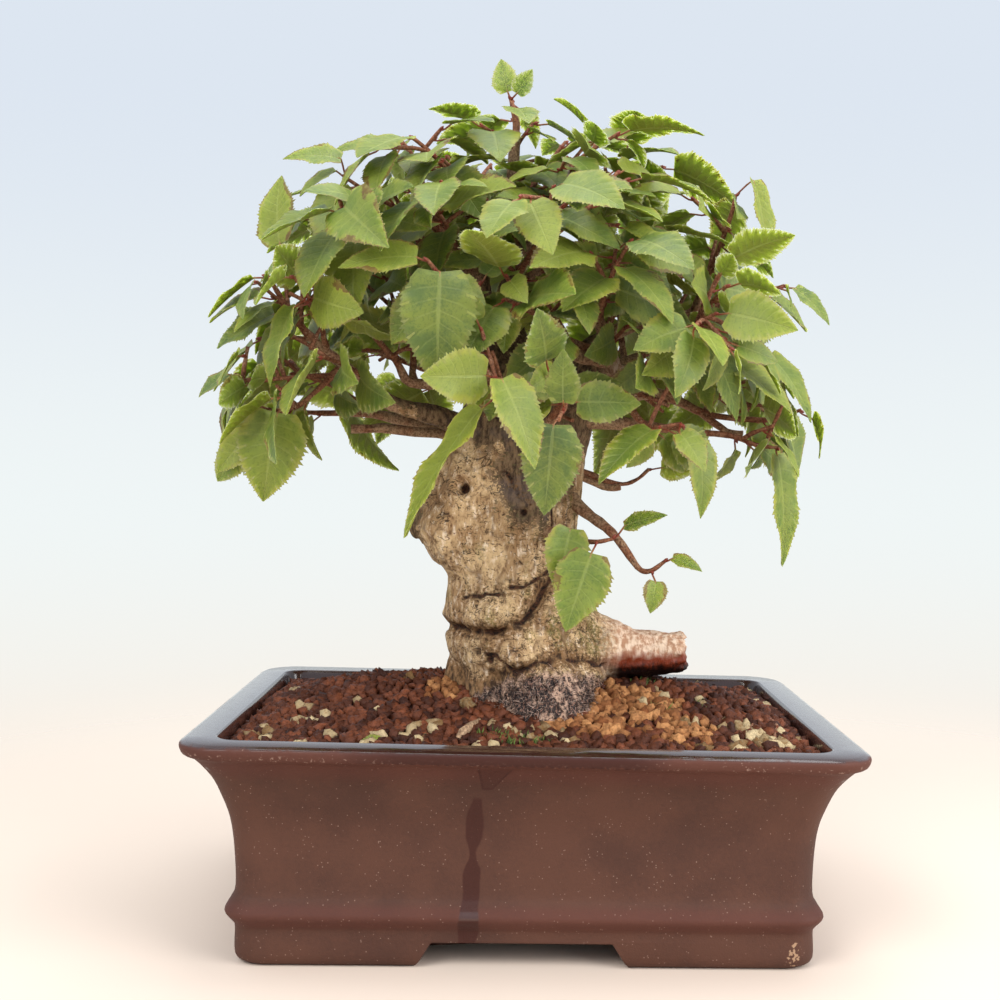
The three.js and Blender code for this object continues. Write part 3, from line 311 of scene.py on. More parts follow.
BRANCH_ROWS = [
    ("leader_top", "top", 12, 1.4, 4, 16,
     [[-2, 4, 172], [-8, 4, 189], [-8, 4, 203], [-6, 3, 216], [-5, 2, 231], [-4, 0, 247], [-3, -2, 258]],
     [[-4, -3, 264], [-5, -3, 268]]),
    ("left_main", "left", 4.4, 1.3, 4, 25,
     [[-15, 0, 157], [-28, -6, 163], [-43, -14, 167], [-53, -20, 175], [-63, -24, 183], [-69, -28, 189]],
     [[-74, -32, 196], [-80, -34, 206]]),
    ("left_main_side", "left", 1.7, 0.9, 4, 24, [[-53, -20, 175], [-65, -27, 175]],
     [[-76, -30, 174], [-86, -31, 173], [-90, -30, 175]]),
    ("left_low", "left_back", 3.2, 1, 4, 24, [[-18, 8, 156], [-39, 12, 162], [-56, 16, 165], [-70, 18, 165]],
     [[-80, 19, 166], [-87, 18, 170]]),
    ("left_low_side", "left_back", 1.6, 0.9, 3, 23, [[-52, 15, 165], [-62, 6, 172]],
     [[-68, -2, 175], [-76, -8, 177]]),
    ("left_inner", "left", 3, 0.9, 4, 24,
     [[-11, -4, 172], [-23, -8, 174], [-37, -10, 174], [-42, -14, 181], [-50, -18, 190]],
     [[-58, -21, 198], [-66, -22, 206]]),
    ("left_front", "left", 1.8, 0.9, 4, 24, [[-43, -14, 167], [-50, -26, 174]],
     [[-56, -35, 178], [-62, -42, 180]]),
    ("left_tip_front", "left", 1.4, 0.8, 4, 23, [[-63, -24, 183], [-63, -34, 190]],
     [[-66, -41, 198], [-70, -44, 204]]),
    ("left_hanging", "left", 1.3, 0.8, 4, 23, [[-59, -25, 177], [-66, -32, 169]],
     [[-71, -33, 165], [-79, -31, 164], [-86, -26, 166]]),
    ("left_inner_up", "left", 1.5, 0.9, 3, 23, [[-37, -10, 174], [-37, -3, 185]],
     [[-40, 0, 194], [-45, 2, 202]]),
    ("left_back_main", "left_back", 4, 1, 4, 25, [[-10, 12, 166], [-32, 32, 181], [-51, 46, 196]],
     [[-60, 51, 203], [-70, 54, 209]]),
    ("left_back_side", "left_back", 1.7, 0.9, 3, 24, [[-32, 32, 181], [-49, 32, 186]],
     [[-60, 32, 189], [-70, 31, 192]]),
    ("left_back_low", "left_back", 1.5, 0.9, 3, 24, [[-56, 16, 165], [-61, 30, 170]],
     [[-65, 39, 173], [-69, 48, 175]]),
    ("back_low_left", "left_back", 3, 0.9, 4, 25, [[-8, 12, 162], [-20, 30, 170], [-31, 45, 175]],
     [[-38, 54.5, 178.5], [-46, 62, 180]]),
    ("upper_left", "upper_left", 2.8, 0.8, 4, 23,
     [[-9, 2, 203], [-22, -4, 216], [-29, -10, 224], [-40, -16, 229]],
     [[-49, -20, 233], [-57, -22, 238]]),
    ("upper_left_twig", "top", 1.3, 0.7, 4, 16, [[-27, -8, 222], [-33, -13, 238]],
     [[-36, -16, 246], [-40, -17, 251]]),
    ("upper_left_side", "upper_left", 1.4, 0.8, 4, 23, [[-22, -4, 216], [-35, 0, 223]],
     [[-48, 2, 226], [-60, 3, 229]]),
    ("upper_left_front", "upper_left", 1.3, 0.8, 4, 24, [[-37, -14.3, 227.4], [-44, -28, 225]],
     [[-49, -36, 222], [-56, -42, 219]]),
    ("front_left_high", "front", 1.4, 0.8, 4, 24, [[-20, -3, 214], [-24, -21, 221]],
     [[-27, -32, 225], [-31, -41, 228]]),
    ("upper_left_back", "upper_left", 2.8, 0.8, 4, 24, [[-7, 6, 211], [-23, 26, 231], [-36, 34, 241]],
     [[-46, 38, 246], [-55, 41, 248]]),
    ("upper_back_spur", "top", 1.3, 0.8, 3, 22, [[-23, 26, 231], [-19, 31, 242]],
     [[-16, 36, 250], [-12, 39, 256]]),
    ("upper_front", "top", 1.7, 0.8, 4, 22, [[-6, 2, 229], [-22, -16, 239]],
     [[-29, -22, 245], [-36, -26, 250]]),
    ("upper_right", "upper_right", 1.8, 0.8, 4, 23, [[-5, 2, 222], [13, -14, 241]],
     [[20, -19, 247], [29, -22, 252]]),
    ("upper_back", "top", 1.4, 0.8, 3, 22, [[-5, 2, 231], [4, 11, 244]], [[9, 15, 252], [14, 18, 259]]),
    ("upper_right_back", "upper_right", 2.8, 0.8, 4, 24, [[-7, 6, 214], [10, 22, 233], [26, 33, 244]],
     [[36, 38, 249], [46, 42, 252]]),
    ("upper_right_side", "upper_right", 1.4, 0.8, 4, 23, [[10, 22, 233], [27, 17, 242]],
     [[37, 14, 247], [47, 11, 249]]),
    ("right_knee", "right_front", 7, 0.9, 4, 24,
     [[10, -6, 166], [20, -17, 175], [26, -22, 184], [23, -30, 193], [24, -36, 199]],
     [[27, -44, 207], [31, -50, 214]]),
    ("knee_left", "right_front", 2.2, 0.9, 4, 23, [[25, -22, 183], [17, -27, 185], [9, -32, 189]],
     [[0, -39, 196], [-6, -44, 204]]),
    ("right_fork", "right_front", 2.8, 0.9, 4, 24,
     [[25, -20, 178], [37, -16, 177], [47, -18, 179], [52, -21, 186], [54, -24, 192]],
     [[58, -28, 202], [62, -31, 210]]),
    ("right_fork_front", "right_front", 1.5, 0.9, 4, 24, [[37, -16, 177], [44, -30, 184]],
     [[50, -39, 189], [57, -46, 193]]),
    ("right_upper", "right_upper", 3.8, 1, 4, 24,
     [[10, 2, 177], [26, 6, 190], [42, 7, 196], [57, 7, 199], [69, 6, 202]],
     [[78, 2, 205], [86, -2, 207]]),
    ("right_upper_rise", "right_upper", 1.6, 0.9, 4, 24, [[26, 6, 190], [32, -4, 203]],
     [[37, -11, 214], [43, -15, 223]]),
    ("right_upper_back", "right_upper", 1.6, 0.9, 3, 24, [[42, 7, 196], [48, 17, 208]],
     [[54, 23, 217], [60, 28, 223]]),
    ("right_upper_tip", "right_upper", 1.6, 0.9, 4, 23, [[57, 7, 199], [62, -4, 214]],
     [[65, -9, 223], [67, -12, 230], [68, -12, 235]]),
    ("right_mid", "right", 3.8, 1, 4, 24,
     [[12, 6, 162], [33, 8, 171], [48, 8, 171], [61, 6, 165], [74, 4, 163]],
     [[84, 1, 163], [92, -2, 166]]),
    ("right_mid_rise", "right", 1.5, 0.9, 3, 24, [[48, 8, 171], [57, 0, 180]],
     [[66, -6, 184], [75, -10, 186]]),
    ("right_mid_back", "right", 1.5, 0.9, 3, 24, [[61, 6, 165], [66, 19, 171]],
     [[71, 28, 174], [76, 36, 175]]),
    ("right_back_main", "right_back", 3.8, 1, 4, 25, [[10, 12, 170], [36, 32, 184], [58, 46, 194]],
     [[68, 50, 199], [78, 52, 203]]),
    ("right_back_rise", "right_back", 1.5, 0.9, 3, 24, [[36, 32, 184], [35, 42, 200]],
     [[35, 50, 210], [37, 56, 217]]),
    ("right_back_side", "right_back", 1.5, 0.9, 3, 24, [[54, 43.5, 192.2], [62, 36, 207]],
     [[67, 31, 217], [72, 28, 225]]),
    ("right_hanging", "right_front", 3.2, 0.9, 4, 22,
     [[26, -22, 182], [31, -25, 173], [33, -30, 165], [37, -35, 160]],
     [[41, -41, 159], [47, -44, 160]]),
    ("right_low", "right_front", 2.6, 0.9, 4, 24,
     [[18, -6, 162], [40, -12, 160], [55, -15, 158], [66, -17, 157]],
     [[74, -19, 154], [81, -20, 153]]),
    ("low_droop", "low", 2.4, 1, 1, 12,
     [[14, -6, 138], [20, -14, 132], [28, -22, 126], [33, -28, 119], [36, -33, 115]],
     [[39, -37, 115], [43, -38, 118]]),
    ("low_front", "low", 2, 0.9, 0, 12, [[7, -18, 126], [13, -28, 125], [17, -34, 124]],
     [[22, -41, 124], [27, -42, 125]]),
    ("low_dark", "low", 1.8, 0.8, 3, 14, [[14, 8, 147], [32, 17, 141]], [[39, 20, 142], [44, 21, 146]]),
    ("front_left", "front", 2.4, 0.9, 4, 24,
     [[-8, -10, 166], [-13, -28, 178], [-18, -40, 189], [-22, -48, 196]],
     [[-25, -54, 202], [-29, -57, 207]]),
    ("front_mid_left", "front", 2.2, 0.9, 3, 22, [[-2, -12, 159], [-4, -28, 166], [-6, -40, 168]],
     [[-8, -50, 169], [-9, -58, 173]]),
    ("front_mid_right", "front", 2.2, 0.9, 4, 22, [[6, -12, 158], [9, -26, 163], [11, -38, 166]],
     [[12, -49, 166], [11, -58, 163]]),
    ("front_high", "front", 2, 0.8, 4, 24, [[-8, 0, 198], [-2, -22, 208], [3, -35, 215]],
     [[6, -43, 222], [8, -49, 230]]),
    ("front_high_right", "front", 1.4, 0.8, 4, 23, [[1, -30, 212.2], [14, -36, 222]],
     [[23, -36, 229], [31, -35, 235]]),
    ("back_high", "back", 2.4, 0.8, 4, 24, [[-8, 8, 199], [-12, 30, 212], [-15, 42, 220]],
     [[-18, 51, 227], [-21, 58, 232]]),
    ("back_high_right", "back", 2.4, 0.8, 3, 24, [[-6, 8, 206], [8, 30, 218], [17, 42, 225]],
     [[25, 51, 229], [33, 57, 233]]),
    ("back_mid", "back", 2.4, 0.9, 4, 24, [[-6, 12, 184], [-10, 34, 193], [-13, 46, 198]],
     [[-17, 56, 202], [-21, 63, 205]]),
    ("back_low", "back", 2.4, 0.9, 4, 25, [[2, 14, 162], [2, 34, 167], [0, 46, 169]],
     [[-2, 56, 171], [-4, 63, 174]]),
    ("back_low_right", "right_back", 2.6, 0.9, 4, 25, [[10, 14, 164], [24, 34, 169], [33, 46, 171]],
     [[41, 54, 173], [49, 60, 174]]),
]
BRANCHES = [Branch(*row) for row in BRANCH_ROWS]

# Leaves that stand out from the front: the twig they grow on, blade base, tip, width and the side they face
LEADING_LEAVES = [
    ("leader_top", [-6, -4, 270], [-9, -5, 281], 9, [-0.3, -1, 0.2]),
    ("leader_top", [-3, -6, 269], [2, -9, 276], 7, [0.3, -1, 0.3]),
    ("front_left", [-25, -60, 203], [-26, -64, 171], 23, [0, -1, 0.2]),
    ("left_tip_front", [-70, -46, 194], [-80, -48, 172], 15, [-0.8, -0.6, 0.3]),
    ("left_hanging", [-76, -37, 163], [-81, -39, 136], 22, [0.1, -1, 0.1]),
    ("front_mid_left", [-13, -53, 164], [-41, -60, 131], 19, [-0.7, -0.4, 0.7]),
    ("front_mid_left", [-7, -64, 172], [5, -72, 149], 16, [0.4, -0.8, 0.5]),
    ("front_mid_right", [8, -60, 159], [6, -62, 133], 18.5, [0.1, -1, 0.2]),
    ("right_hanging", [38, -47, 158], [20, -58, 147], 15, [-0.3, -0.5, 0.8]),
    ("low_front", [14, -41, 128], [10, -47, 111], 14, [0.1, -1, 0.2]),
    ("low_front", [20, -47, 121], [12, -51, 98], 18, [-0.1, -1, 0.2]),
    ("low_front", [30, -44, 129], [42, -47, 134], 10, [0.1, -0.5, 0.9]),
    ("right_low", [80, -23, 151], [86, -25, 116], 15, [0.7, -0.7, 0.1]),
    ("right_hanging", [46, -48, 157], [54, -53, 147], 11, [0.3, -0.8, 0.5]),
    ("right_hanging", [52, -42, 155], [57, -46, 133], 12, [0.5, -0.8, 0.2]),
    ("upper_left_twig", [-44, -19, 249], [-62, -22, 250], 11, [0, -0.6, 0.8]),
    ("upper_left", [-58, -26, 243], [-75, -29, 247], 11, [-0.1, -0.7, 0.7]),
    ("upper_left", [-60, -23, 240], [-72, -26, 233], 11, [-0.6, -0.5, 0.6]),
    ("right_upper", [89, -4, 206], [101.5, -8, 196], 12, [0.5, -0.6, 0.7]),
    ("right_upper_tip", [73, -15, 239], [80, -19, 214], 14, [0.8, -0.6, 0.2]),
    ("low_droop", [40, -40, 112], [39, -43, 103], 8, [0.2, -1, 0.2]),
    ("low_droop", [45, -40, 119], [54, -43, 117], 7, [0.2, -0.6, 0.8]),
    ("left_main_side", [-92, -33, 175], [-102, -35, 170], 9, [-0.4, -0.6, 0.7]),
]


# Sockets, nodes and materials


def arithmetic(operation, swapped=False):
    """An operator between a wire and another wire or a number"""

    def operator(wire, other):
        """The operator itself"""
        return wire.math(operation, *((other, wire) if swapped else (wire, other)))

    return operator


class Wire:
    """A node's output that does arithmetic by adding Math nodes to its tree"""

    def __init__(self, bench, socket):
        self.bench = bench
        self.socket = socket

    def math(self, operation, *values):
        """A Math node on these values"""
        return self.bench.node("ShaderNodeMath", {"operation": operation}, dict(enumerate(values)))

    def __abs__(self):
        return self.math("ABSOLUTE", self)

    __add__ = arithmetic("ADD")
    __radd__ = arithmetic("ADD", swapped=True)
    __sub__ = arithmetic("SUBTRACT")
    __rsub__ = arithmetic("SUBTRACT", swapped=True)
    __mul__ = arithmetic("MULTIPLY")
    __rmul__ = arithmetic("MULTIPLY", swapped=True)
    __truediv__ = arithmetic("DIVIDE")
    low = arithmetic("MINIMUM")
    high = arithmetic("MAXIMUM")


class Bench:
    """Adds nodes to one tree"""

    def __init__(self, tree):
        self.tree = tree

    def node(self, kind, settings=None, values=None, out=0):
        """A node of any type: its settings are set first, then the values or links of its sockets"""
        made = self.tree.nodes.new(kind)
        for name, value in (settings or {}).items():
            setattr(made, name, value)
        for name, value in (values or {}).items():
            self.feed(made.inputs[name], value)
        return Wire(self, made.outputs[out])

    def feed(self, target, value):
        """A socket gets a link or a plain value"""
        if isinstance(value, Wire):
            self.tree.links.new(value.socket, target)
        else:
            target.default_value = value

    def blend(self, factor, first, second):
        """A colour between two others"""
        settings = {"data_type": "RGBA", "blend_type": "MIX", "clamp_factor": True}
        return self.node("ShaderNodeMix", settings, {0: factor, 6: first, 7: second}, out=2)

    def step(self, value, low, high, to_low=0.0, to_high=1.0):
        """A smooth change from one value to another while a number goes from low to high"""
        settings = {"interpolation_type": "SMOOTHSTEP"}
        values = {"Value": value, "From Min": low, "From Max": high, "To Min": to_low, "To Max": to_high}
        return self.node("ShaderNodeMapRange", settings, values)

    def shade(self, value, low, high, first, second):
        """The first colour where a number is low and the second where it is high"""
        return self.blend(self.step(value, low, high), first, second)

    def cloud(self, place, size, detail=2.0, roughness=0.5, warp=0.0):
        """Soft noise whose lumps are about this many millimetres wide"""
        values = {"Vector": place, "Scale": 1 / size, "Detail": detail, "Roughness": roughness}
        return self.node("ShaderNodeTexNoise", {"noise_dimensions": "3D"}, {**values, "Distortion": warp})

    def vector(self, operation, *values):
        """Arithmetic with vectors"""
        return self.node("ShaderNodeVectorMath", {"operation": operation}, dict(enumerate(values)))

    def scale(self, place, factors):
        """Coordinates multiplied along each axis"""
        return self.vector("MULTIPLY", place, factors)

    def apart(self, place):
        """The three numbers of a vector"""
        parts = self.tree.nodes.new("ShaderNodeSeparateXYZ")
        self.feed(parts.inputs[0], place)
        return [Wire(self, output) for output in parts.outputs]

    def place(self):
        """Object coordinates in millimetres"""
        return self.scale(self.node("ShaderNodeTexCoord", out="Object"), (1000, 1000, 1000))

    def mark(self, name):
        """A number kept on the mesh"""
        return self.node("ShaderNodeAttribute", {"attribute_name": name}, out="Fac")

    def bump(self, height, depth):
        """A normal from heights between 0 and 1, depth in millimetres"""
        values = {"Strength": 1.0, "Distance": depth * MM, "Height": height}
        return self.node("ShaderNodeBump", {}, values, out="Normal")

    def patches(self, place, size, detail, low, high):
        """Soft patches: noise from 0 where it is low to 1 where it is high"""
        return self.step(self.cloud(place, size, detail), low, high)

    def field(self, name):
        """A number kept on the mesh, for nodes that make geometry"""
        return self.node("GeometryNodeInputNamedAttribute", {"data_type": "FLOAT"}, {"Name": name})

    def keep(self, points, name, value):
        """The points with a number kept on each"""
        settings = {"data_type": "FLOAT", "domain": "POINT"}
        values = {"Geometry": points, "Name": name, "Value": value}
        return self.node("GeometryNodeStoreNamedAttribute", settings, values)

    def pick(self, kind, slot, seed, low, high):
        """A random value for each point; every kind has its own output and two inputs"""
        values = {2 * slot: low, 2 * slot + 1: high, "Seed": seed}
        return self.node("FunctionNodeRandomValue", {"data_type": kind}, values, out=slot)

    def chance(self, seed, low=0.0, high=1.0):
        """A random number for each point"""
        return self.pick("FLOAT", 1, seed, low, high)

    def turns(self, seed, low, high):
        """Random turns about the three axes for each point"""
        return self.pick("FLOAT_VECTOR", 0, seed, low, high)


def rgb(red, green, blue):
    """A colour from its usual 0 to 255 numbers"""
    linear = [c / 255 / 12.92 if c <= 10 else ((c / 255 + 0.055) / 1.055) ** 2.4 for c in (red, green, blue)]
    return (*linear, 1.0)


class Surface(Bench):
    """A new material and the bench for its nodes"""

    def __init__(self, name):
        self.material = bpy.data.materials.new(name)
        self.material.use_nodes = True
        super().__init__(self.material.node_tree)

    def finish(self, **looks):
        """The material, with wires or plain values in its shader's sockets"""
        shader = self.tree.nodes["Principled BSDF"]
        for name, value in looks.items():
            self.feed(shader.inputs[name.replace("_", " ")], value)
        return self.material


# Meshes


class Shape:
    """Points, faces, material slots and marks gathered for one mesh"""

    def __init__(self):
        self.points = []
        self.faces = []
        self.slots = []
        self.marks = []
        self.count = 0

    def add(self, points, faces, slot=0, **marks):
        """Points and faces, with a mark for all the points or for each"""
        points = np.asarray(points, float)
        self.points.append(points)
        self.faces += [tuple(i + self.count for i in face) for face in faces]
        self.slots += [slot] * len(faces)
        self.marks.append((len(points), marks))
        self.count += len(points)

    def piece(self, name, materials, sharp=None):
        """The mesh object, smooth but for edges sharper than an angle in degrees"""
        mesh = bpy.data.meshes.new(name)
        mesh.from_pydata((np.concatenate(self.points) * MM).tolist(), [], self.faces)
        mesh.polygons.foreach_set("material_index", self.slots)
        for mark in sorted({key for _, marks in self.marks for key in marks}):
            values = [np.broadcast_to(np.float32(marks.get(mark, 0)), count) for count, marks in self.marks]
            mesh.attributes.new(mark, "FLOAT", "POINT").data.foreach_set("value", np.concatenate(values))
        for material in materials:
            mesh.materials.append(material)
        mesh.shade_smooth()
        if sharp:
            mesh.set_sharp_from_angle(angle=math.radians(sharp))
        piece = bpy.data.objects.new(name, mesh)
        bpy.context.collection.objects.link(piece)
        return piece


def settle(piece, slot, *nodes):
    """The piece rides with the object and stands for its frame nodes, which it hides; the slot is not used
    """
    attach(piece, "root")
    if nodes:
        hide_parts(*nodes)


def modify(piece, name, kind, **settings):
    """A modifier with its settings"""
    modifier = piece.modifiers.new(name, kind)
    for setting, value in settings.items():
        setattr(modifier, setting, value)


def bake_modifiers(piece):
    """The mesh that a piece's modifiers give, in place of the modifiers"""
    bpy.context.view_layer.update()
    depsgraph = bpy.context.evaluated_depsgraph_get()
    mesh = bpy.data.meshes.new_from_object(piece.evaluated_get(depsgraph), depsgraph=depsgraph)
    piece.modifiers.clear()
    piece.data = mesh


def unit(vector):
    """The vector with a length of 1"""
    return vector / np.linalg.norm(vector)


def curve_through(rows, steps):
    """Rows on a smooth curve through the given ones"""
    rows = np.asarray(rows, float)
    ends = np.vstack([2 * rows[0] - rows[1], rows, 2 * rows[-1] - rows[-2]])
    out = []
    for i in range(1, len(ends) - 2):
        p0, p1, p2, p3 = ends[i - 1 : i + 3]
        for k in range(steps):
            t = k / steps
            bend = (2 * p0 - 5 * p1 + 4 * p2 - p3) * t * t + (-p0 + 3 * p1 - 3 * p2 + p3) * t**3
            out.append((2 * p1 + (p2 - p0) * t + bend) / 2)
    out.append(rows[-1])
    return np.array(out)


def loft_faces(rings, count):
    """Faces between rings of points, with flat ends"""
    faces = []
    for r in range(rings - 1):
        for i in range(count):
            a = r * count + i
            b = r * count + (i + 1) % count
            faces.append((a, b, b + count, a + count))
    top = (rings - 1) * count
    faces.append(tuple(reversed(range(count))))
    faces.append(tuple(range(top, top + count)))
    return faces


def tube(line, radii, sides, knobs=0.0, seed=0):
    """Points and faces of a tapering tube along a line, with knobs as a share of its radius"""
    line = np.asarray(line, float)
    steps = np.diff(line, axis=0)
    steps /= np.linalg.norm(steps, axis=1)[:, None]
    across = np.array([0.0, 0.0, 1.0]) if abs(steps[0][2]) < 0.9 else np.array([1.0, 0.0, 0.0])
    side = unit(across - steps[0] * (across @ steps[0]))
    points = []
    for i, centre in enumerate(line):
        along = unit(steps[max(0, i - 1)] + steps[min(len(steps) - 1, i)])
        side = unit(side - along * (side @ along))
        other = np.cross(along, side)
        for k in range(sides):
            angle = 2 * math.pi * k / sides
            ray = side * math.cos(angle) + other * math.sin(angle)
            reach = radii[i]
            if knobs:
                reach *= 1 + knobs * noise.noise(Vector((centre + ray * reach) / 3.1) + Vector((seed, 0, 0)))
            points.append(centre + ray * reach)
    return np.array(points), loft_faces(len(line), sides)


def limb(points, radii, sides, knobs=0.0, seed=0, steps=4):
    """A tube along a smooth curve through points; two radii are those of its ends"""
    if len(radii) == 2:
        radii = np.linspace(*radii, len(points))
    rows = curve_through(np.column_stack([points, radii]), steps)
    return tube(rows[:, :3], rows[:, 3], sides, knobs, seed)


# The pot


def corner_at(half):
    """Radius of the pot's corners where its half-length is this"""
    return POT_CORNER - (POT_LENGTH / 2 - half) * CORNER_SHRINK


def pot_ring(z, half, corner, corner_steps=12, side_steps=1):
    """A level ring round the pot: a rectangle with rounded corners, turning left"""
    half_depth = half - (POT_LENGTH - POT_DEPTH) / 2
    ring = []
    for sx, sy, turn in ((1, 1, 0), (-1, 1, 1), (-1, -1, 2), (1, -1, 3)):
        for k in range(corner_steps + 1):
            angle = (turn + k / corner_steps) * math.pi / 2
            x = sx * (half - corner) + corner * math.cos(angle)
            y = sy * (half_depth - corner) + corner * math.sin(angle)
            ring.append((x, y, z))
    full = []
    for i, start in enumerate(ring):
        end = ring[(i + 1) % len(ring)]
        cuts = side_steps if i % (corner_steps + 1) == corner_steps else 1
        full += [tuple(a + (b - a) * k / cuts for a, b in zip(start, end)) for k in range(cuts)]
    return full


def slanted(points):
    """The rim stands a little higher on the left, and the feet stay level"""
    points = np.array(points, float)
    points[:, 2] *= 1 - POT_SLANT * points[:, 0] / (POT_LENGTH / 2)
    return points


def cutter(points, faces, name):
    """A hidden solid for a cut"""
    shape = Shape()
    shape.add(slanted(points), faces)
    return shape.piece(name, [])


def foot_gap(span, reach, along_x):
    """A bar with sloped ends between two feet"""
    low, high = span
    bar = [(low - 1, -2), (high + 1, -2), (high - FOOT_SLOPE, FOOT_HEIGHT), (low + FOOT_SLOPE, FOOT_HEIGHT)]
    points = [(x, y, z) for y in (reach, -reach) for x, z in bar]
    if along_x:
        points = [(-y, x, z) for x, y, z in points]
    return points, loft_faces(2, 4)


def make_pot(settings):
    """The pot: a lofted shell, cut open between its feet, under its floor and at its drain holes"""
    outer = curve_through(OUTER_WALL, 4)
    inner = curve_through(INNER_WALL, 3)
    rings = [pot_ring(z, half, corner_at(half)) for z, half in outer]
    rings += [pot_ring(z, half, corner_at(half) - INNER_CORNER_LESS) for z, half in inner]
    shape = Shape()
    shape.add(slanted([p for ring in rings for p in ring]), loft_faces(len(rings), len(rings[0])))
    pot = shape.piece("pot_stoneware", [stoneware(settings)])
    inside = OUTER_WALL[1][1] - FOOT_WIDTH
    deep = FOOT_HEIGHT + CUT_STEP
    hollow = [p for z, half in ((-2, inside), (deep, inside - 1)) for p in pot_ring(z, half, 5, 5)]
    cuts = [cutter(hollow, loft_faces(2, len(hollow) // 2), "cut_under")]
    cuts.append(cutter(*foot_gap(FOOT_GAP_LONG, POT_DEPTH, False), "cut_long"))
    cuts.append(cutter(*foot_gap(FOOT_GAP_SHORT, POT_LENGTH, True), "cut_short"))
    for side in (-1, 1):
        line = [(side * DRAIN_X, 0, -1), (side * DRAIN_X, 0, 2 * FLOOR_TOP)]
        cuts.append(cutter(*tube(line, (DRAIN_RADIUS,) * 2, DRAIN_SIDES), f"cut_drain_{side}"))
    for cut in cuts:
        modify(pot, "Cut", "BOOLEAN", object=cut, solver="EXACT")
    edges = {"limit_method": "ANGLE", "angle_limit": math.radians(ROUND_EDGE)}
    modify(pot, "Soft edges", "BEVEL", width=settings.edge_round, segments=2, **edges)
    bake_modifiers(pot)
    for cut in cuts:
        bpy.data.objects.remove(cut)
    pot.data.shade_smooth()
    pot.data.set_sharp_from_angle(angle=math.radians(SHARP_EDGE))
    return pot


def stoneware(settings):
    """Matt brown clay with fine pale specks, darker and glossy where it is wet"""
    bench = Surface("stoneware_brown")
    place = bench.place()
    x, y, z = bench.apart(place)
    z = z / (1 - x * (POT_SLANT / (POT_LENGTH / 2)))

    # Brown clay with darker clouds, pale specks, and pale specks along the lip that are rubbed wear and
    # painted glints
    broad = bench.cloud(place, 26, 3)
    fine = bench.cloud(place, 1.3, 3, 0.7)
    rough = bench.cloud(place, 0.45, 2, 0.6)
    dark, light = (*settings.clay_dark, 1), (*settings.clay, 1)
    clay = bench.shade(broad + fine * 0.35, 0.45, 0.85, dark, light)
    band = bench.step(z, 54, 60) + bench.step(abs(z - BEAD), 5, 2)
    clay = bench.blend(band.low(1) * 0.45, clay, rgb(92, 50, 42))
    specks = bench.node("ShaderNodeTexVoronoi", {"feature": "F1"}, {"Vector": place, "Scale": 0.75})
    chance = bench.cloud(place, 2.6, 1)
    speck = bench.step(specks, 0.17, 0.1) * bench.step(chance, 0.48, 0.56)
    # Pale specks along the lip: rubbed wear, and painted glints
    rubbed_and_glints = bench.step(abs(z - 63.2), 1.3, 0.4) * bench.patches(place, 1.1, 2, 0.6, 0.68)
    clay = bench.blend((speck * 0.4 + rubbed_and_glints * 0.45).low(1), clay, rgb(176, 146, 130))

    # Water stands inside the rim and on its top, dry in places at the outer edge
    inside = bench.step((abs(x) - INSIDE_X).high(abs(y) - INSIDE_Y), 0.6, -0.6)
    top = bench.step(z, 65.2, 66.1)
    dry_edge = bench.patches(place, 5, 3, 0.5, 0.62) * bench.step(abs(z - 64.5), 2.2, 0.6)
    film = (inside * bench.step(z, 57.5, 59)).high(top) * (1 - dry_edge * (1 - inside))
    film = film * settings.wetness

    # A run of water down the front, the drip that feeds it and a damp lip under the rim
    front = bench.step(y, -50, -56)
    run = abs(x + 13.6 + (52 - z) * 0.062 + (bench.cloud(place, 6, 2) - 0.5) * 1.6)
    run_width = 2.5 - bench.step(abs(z - 34), 6, 0) * 1.5 + bench.step(abs(z - 13), 6, 0) * 0.7
    run_width = run_width - bench.step(z, 44, 52) * 1.4
    streak = bench.step(run - run_width, 0.35, -0.35) * bench.step(z, 52, 50.5)
    streak = streak * bench.step(z, 6.5, 8) * front
    drip = abs(x + 10.6 - (z - 54) * 0.33) - 1.5 - (z - 54) * 0.5
    drip = drip.high(54 - z + (bench.cloud(place, 3, 1) - 0.5))
    drip = bench.step(drip, 0.2, -0.2) * (0.55 + bench.step(drip, -1.0, -0.3) * 0.45)
    drip = drip * bench.step(z, 62, 60) * front
    lip = bench.step(z + (bench.cloud(bench.scale(place, (1, 1, 0.2)), 1.4, 2) - 0.5) * 3, 62.2, 62.9)
    lip = lip * bench.step(abs(x + 4) + (broad - 0.5) * 20, 48, 30) * bench.step(y, -70, -72)

    # A chip at the right foot
    chip = bench.cloud(place, 1.2, 2) - abs(x - 79) * 0.12 - abs(z - 5) * 0.07
    chip = bench.step(chip, 0.3, 0.36) * front

    runs = streak.high(drip).high(lip)
    clay = bench.blend(runs * 0.9, clay, (*settings.clay_run, 1))
    colour = bench.blend(film * 0.9, clay, (*settings.clay_wet, 1))
    colour = bench.blend(chip * 0.8, colour, rgb(176, 142, 112))
    roughness = bench.step(film, 0.1, 0.8, 0.66, 0.28) + (fine - 0.5) * 0.12
    height = (fine * 0.5 + rough * 0.3) * (1 - film) + broad * 0.4
    relief = bench.bump(height, 0.25)
    roughness = roughness - runs * 0.2
    coat = film.high(streak * bench.step(abs(z - 16.2), 1.4, 0.9))
    looks = {"Specular_IOR_Level": 0.22, "Coat_Weight": coat, "Coat_Roughness": 0.1}
    return bench.finish(Base_Color=colour, Roughness=roughness, Normal=relief, **looks)


# The soil


def soil_top(x, y):
    """Height of the soil: a mound along the middle"""
    along = max(0.0, 1 - (abs(x) / SOIL_REACH_X) ** 4)
    from_ridge = math.hypot(y, RIDGE_ROUND) - RIDGE_ROUND
    return SOIL_EDGE + SOIL_CROWN * along * max(0.0, 1 - from_ridge / SOIL_REACH_Y) ** 1.5


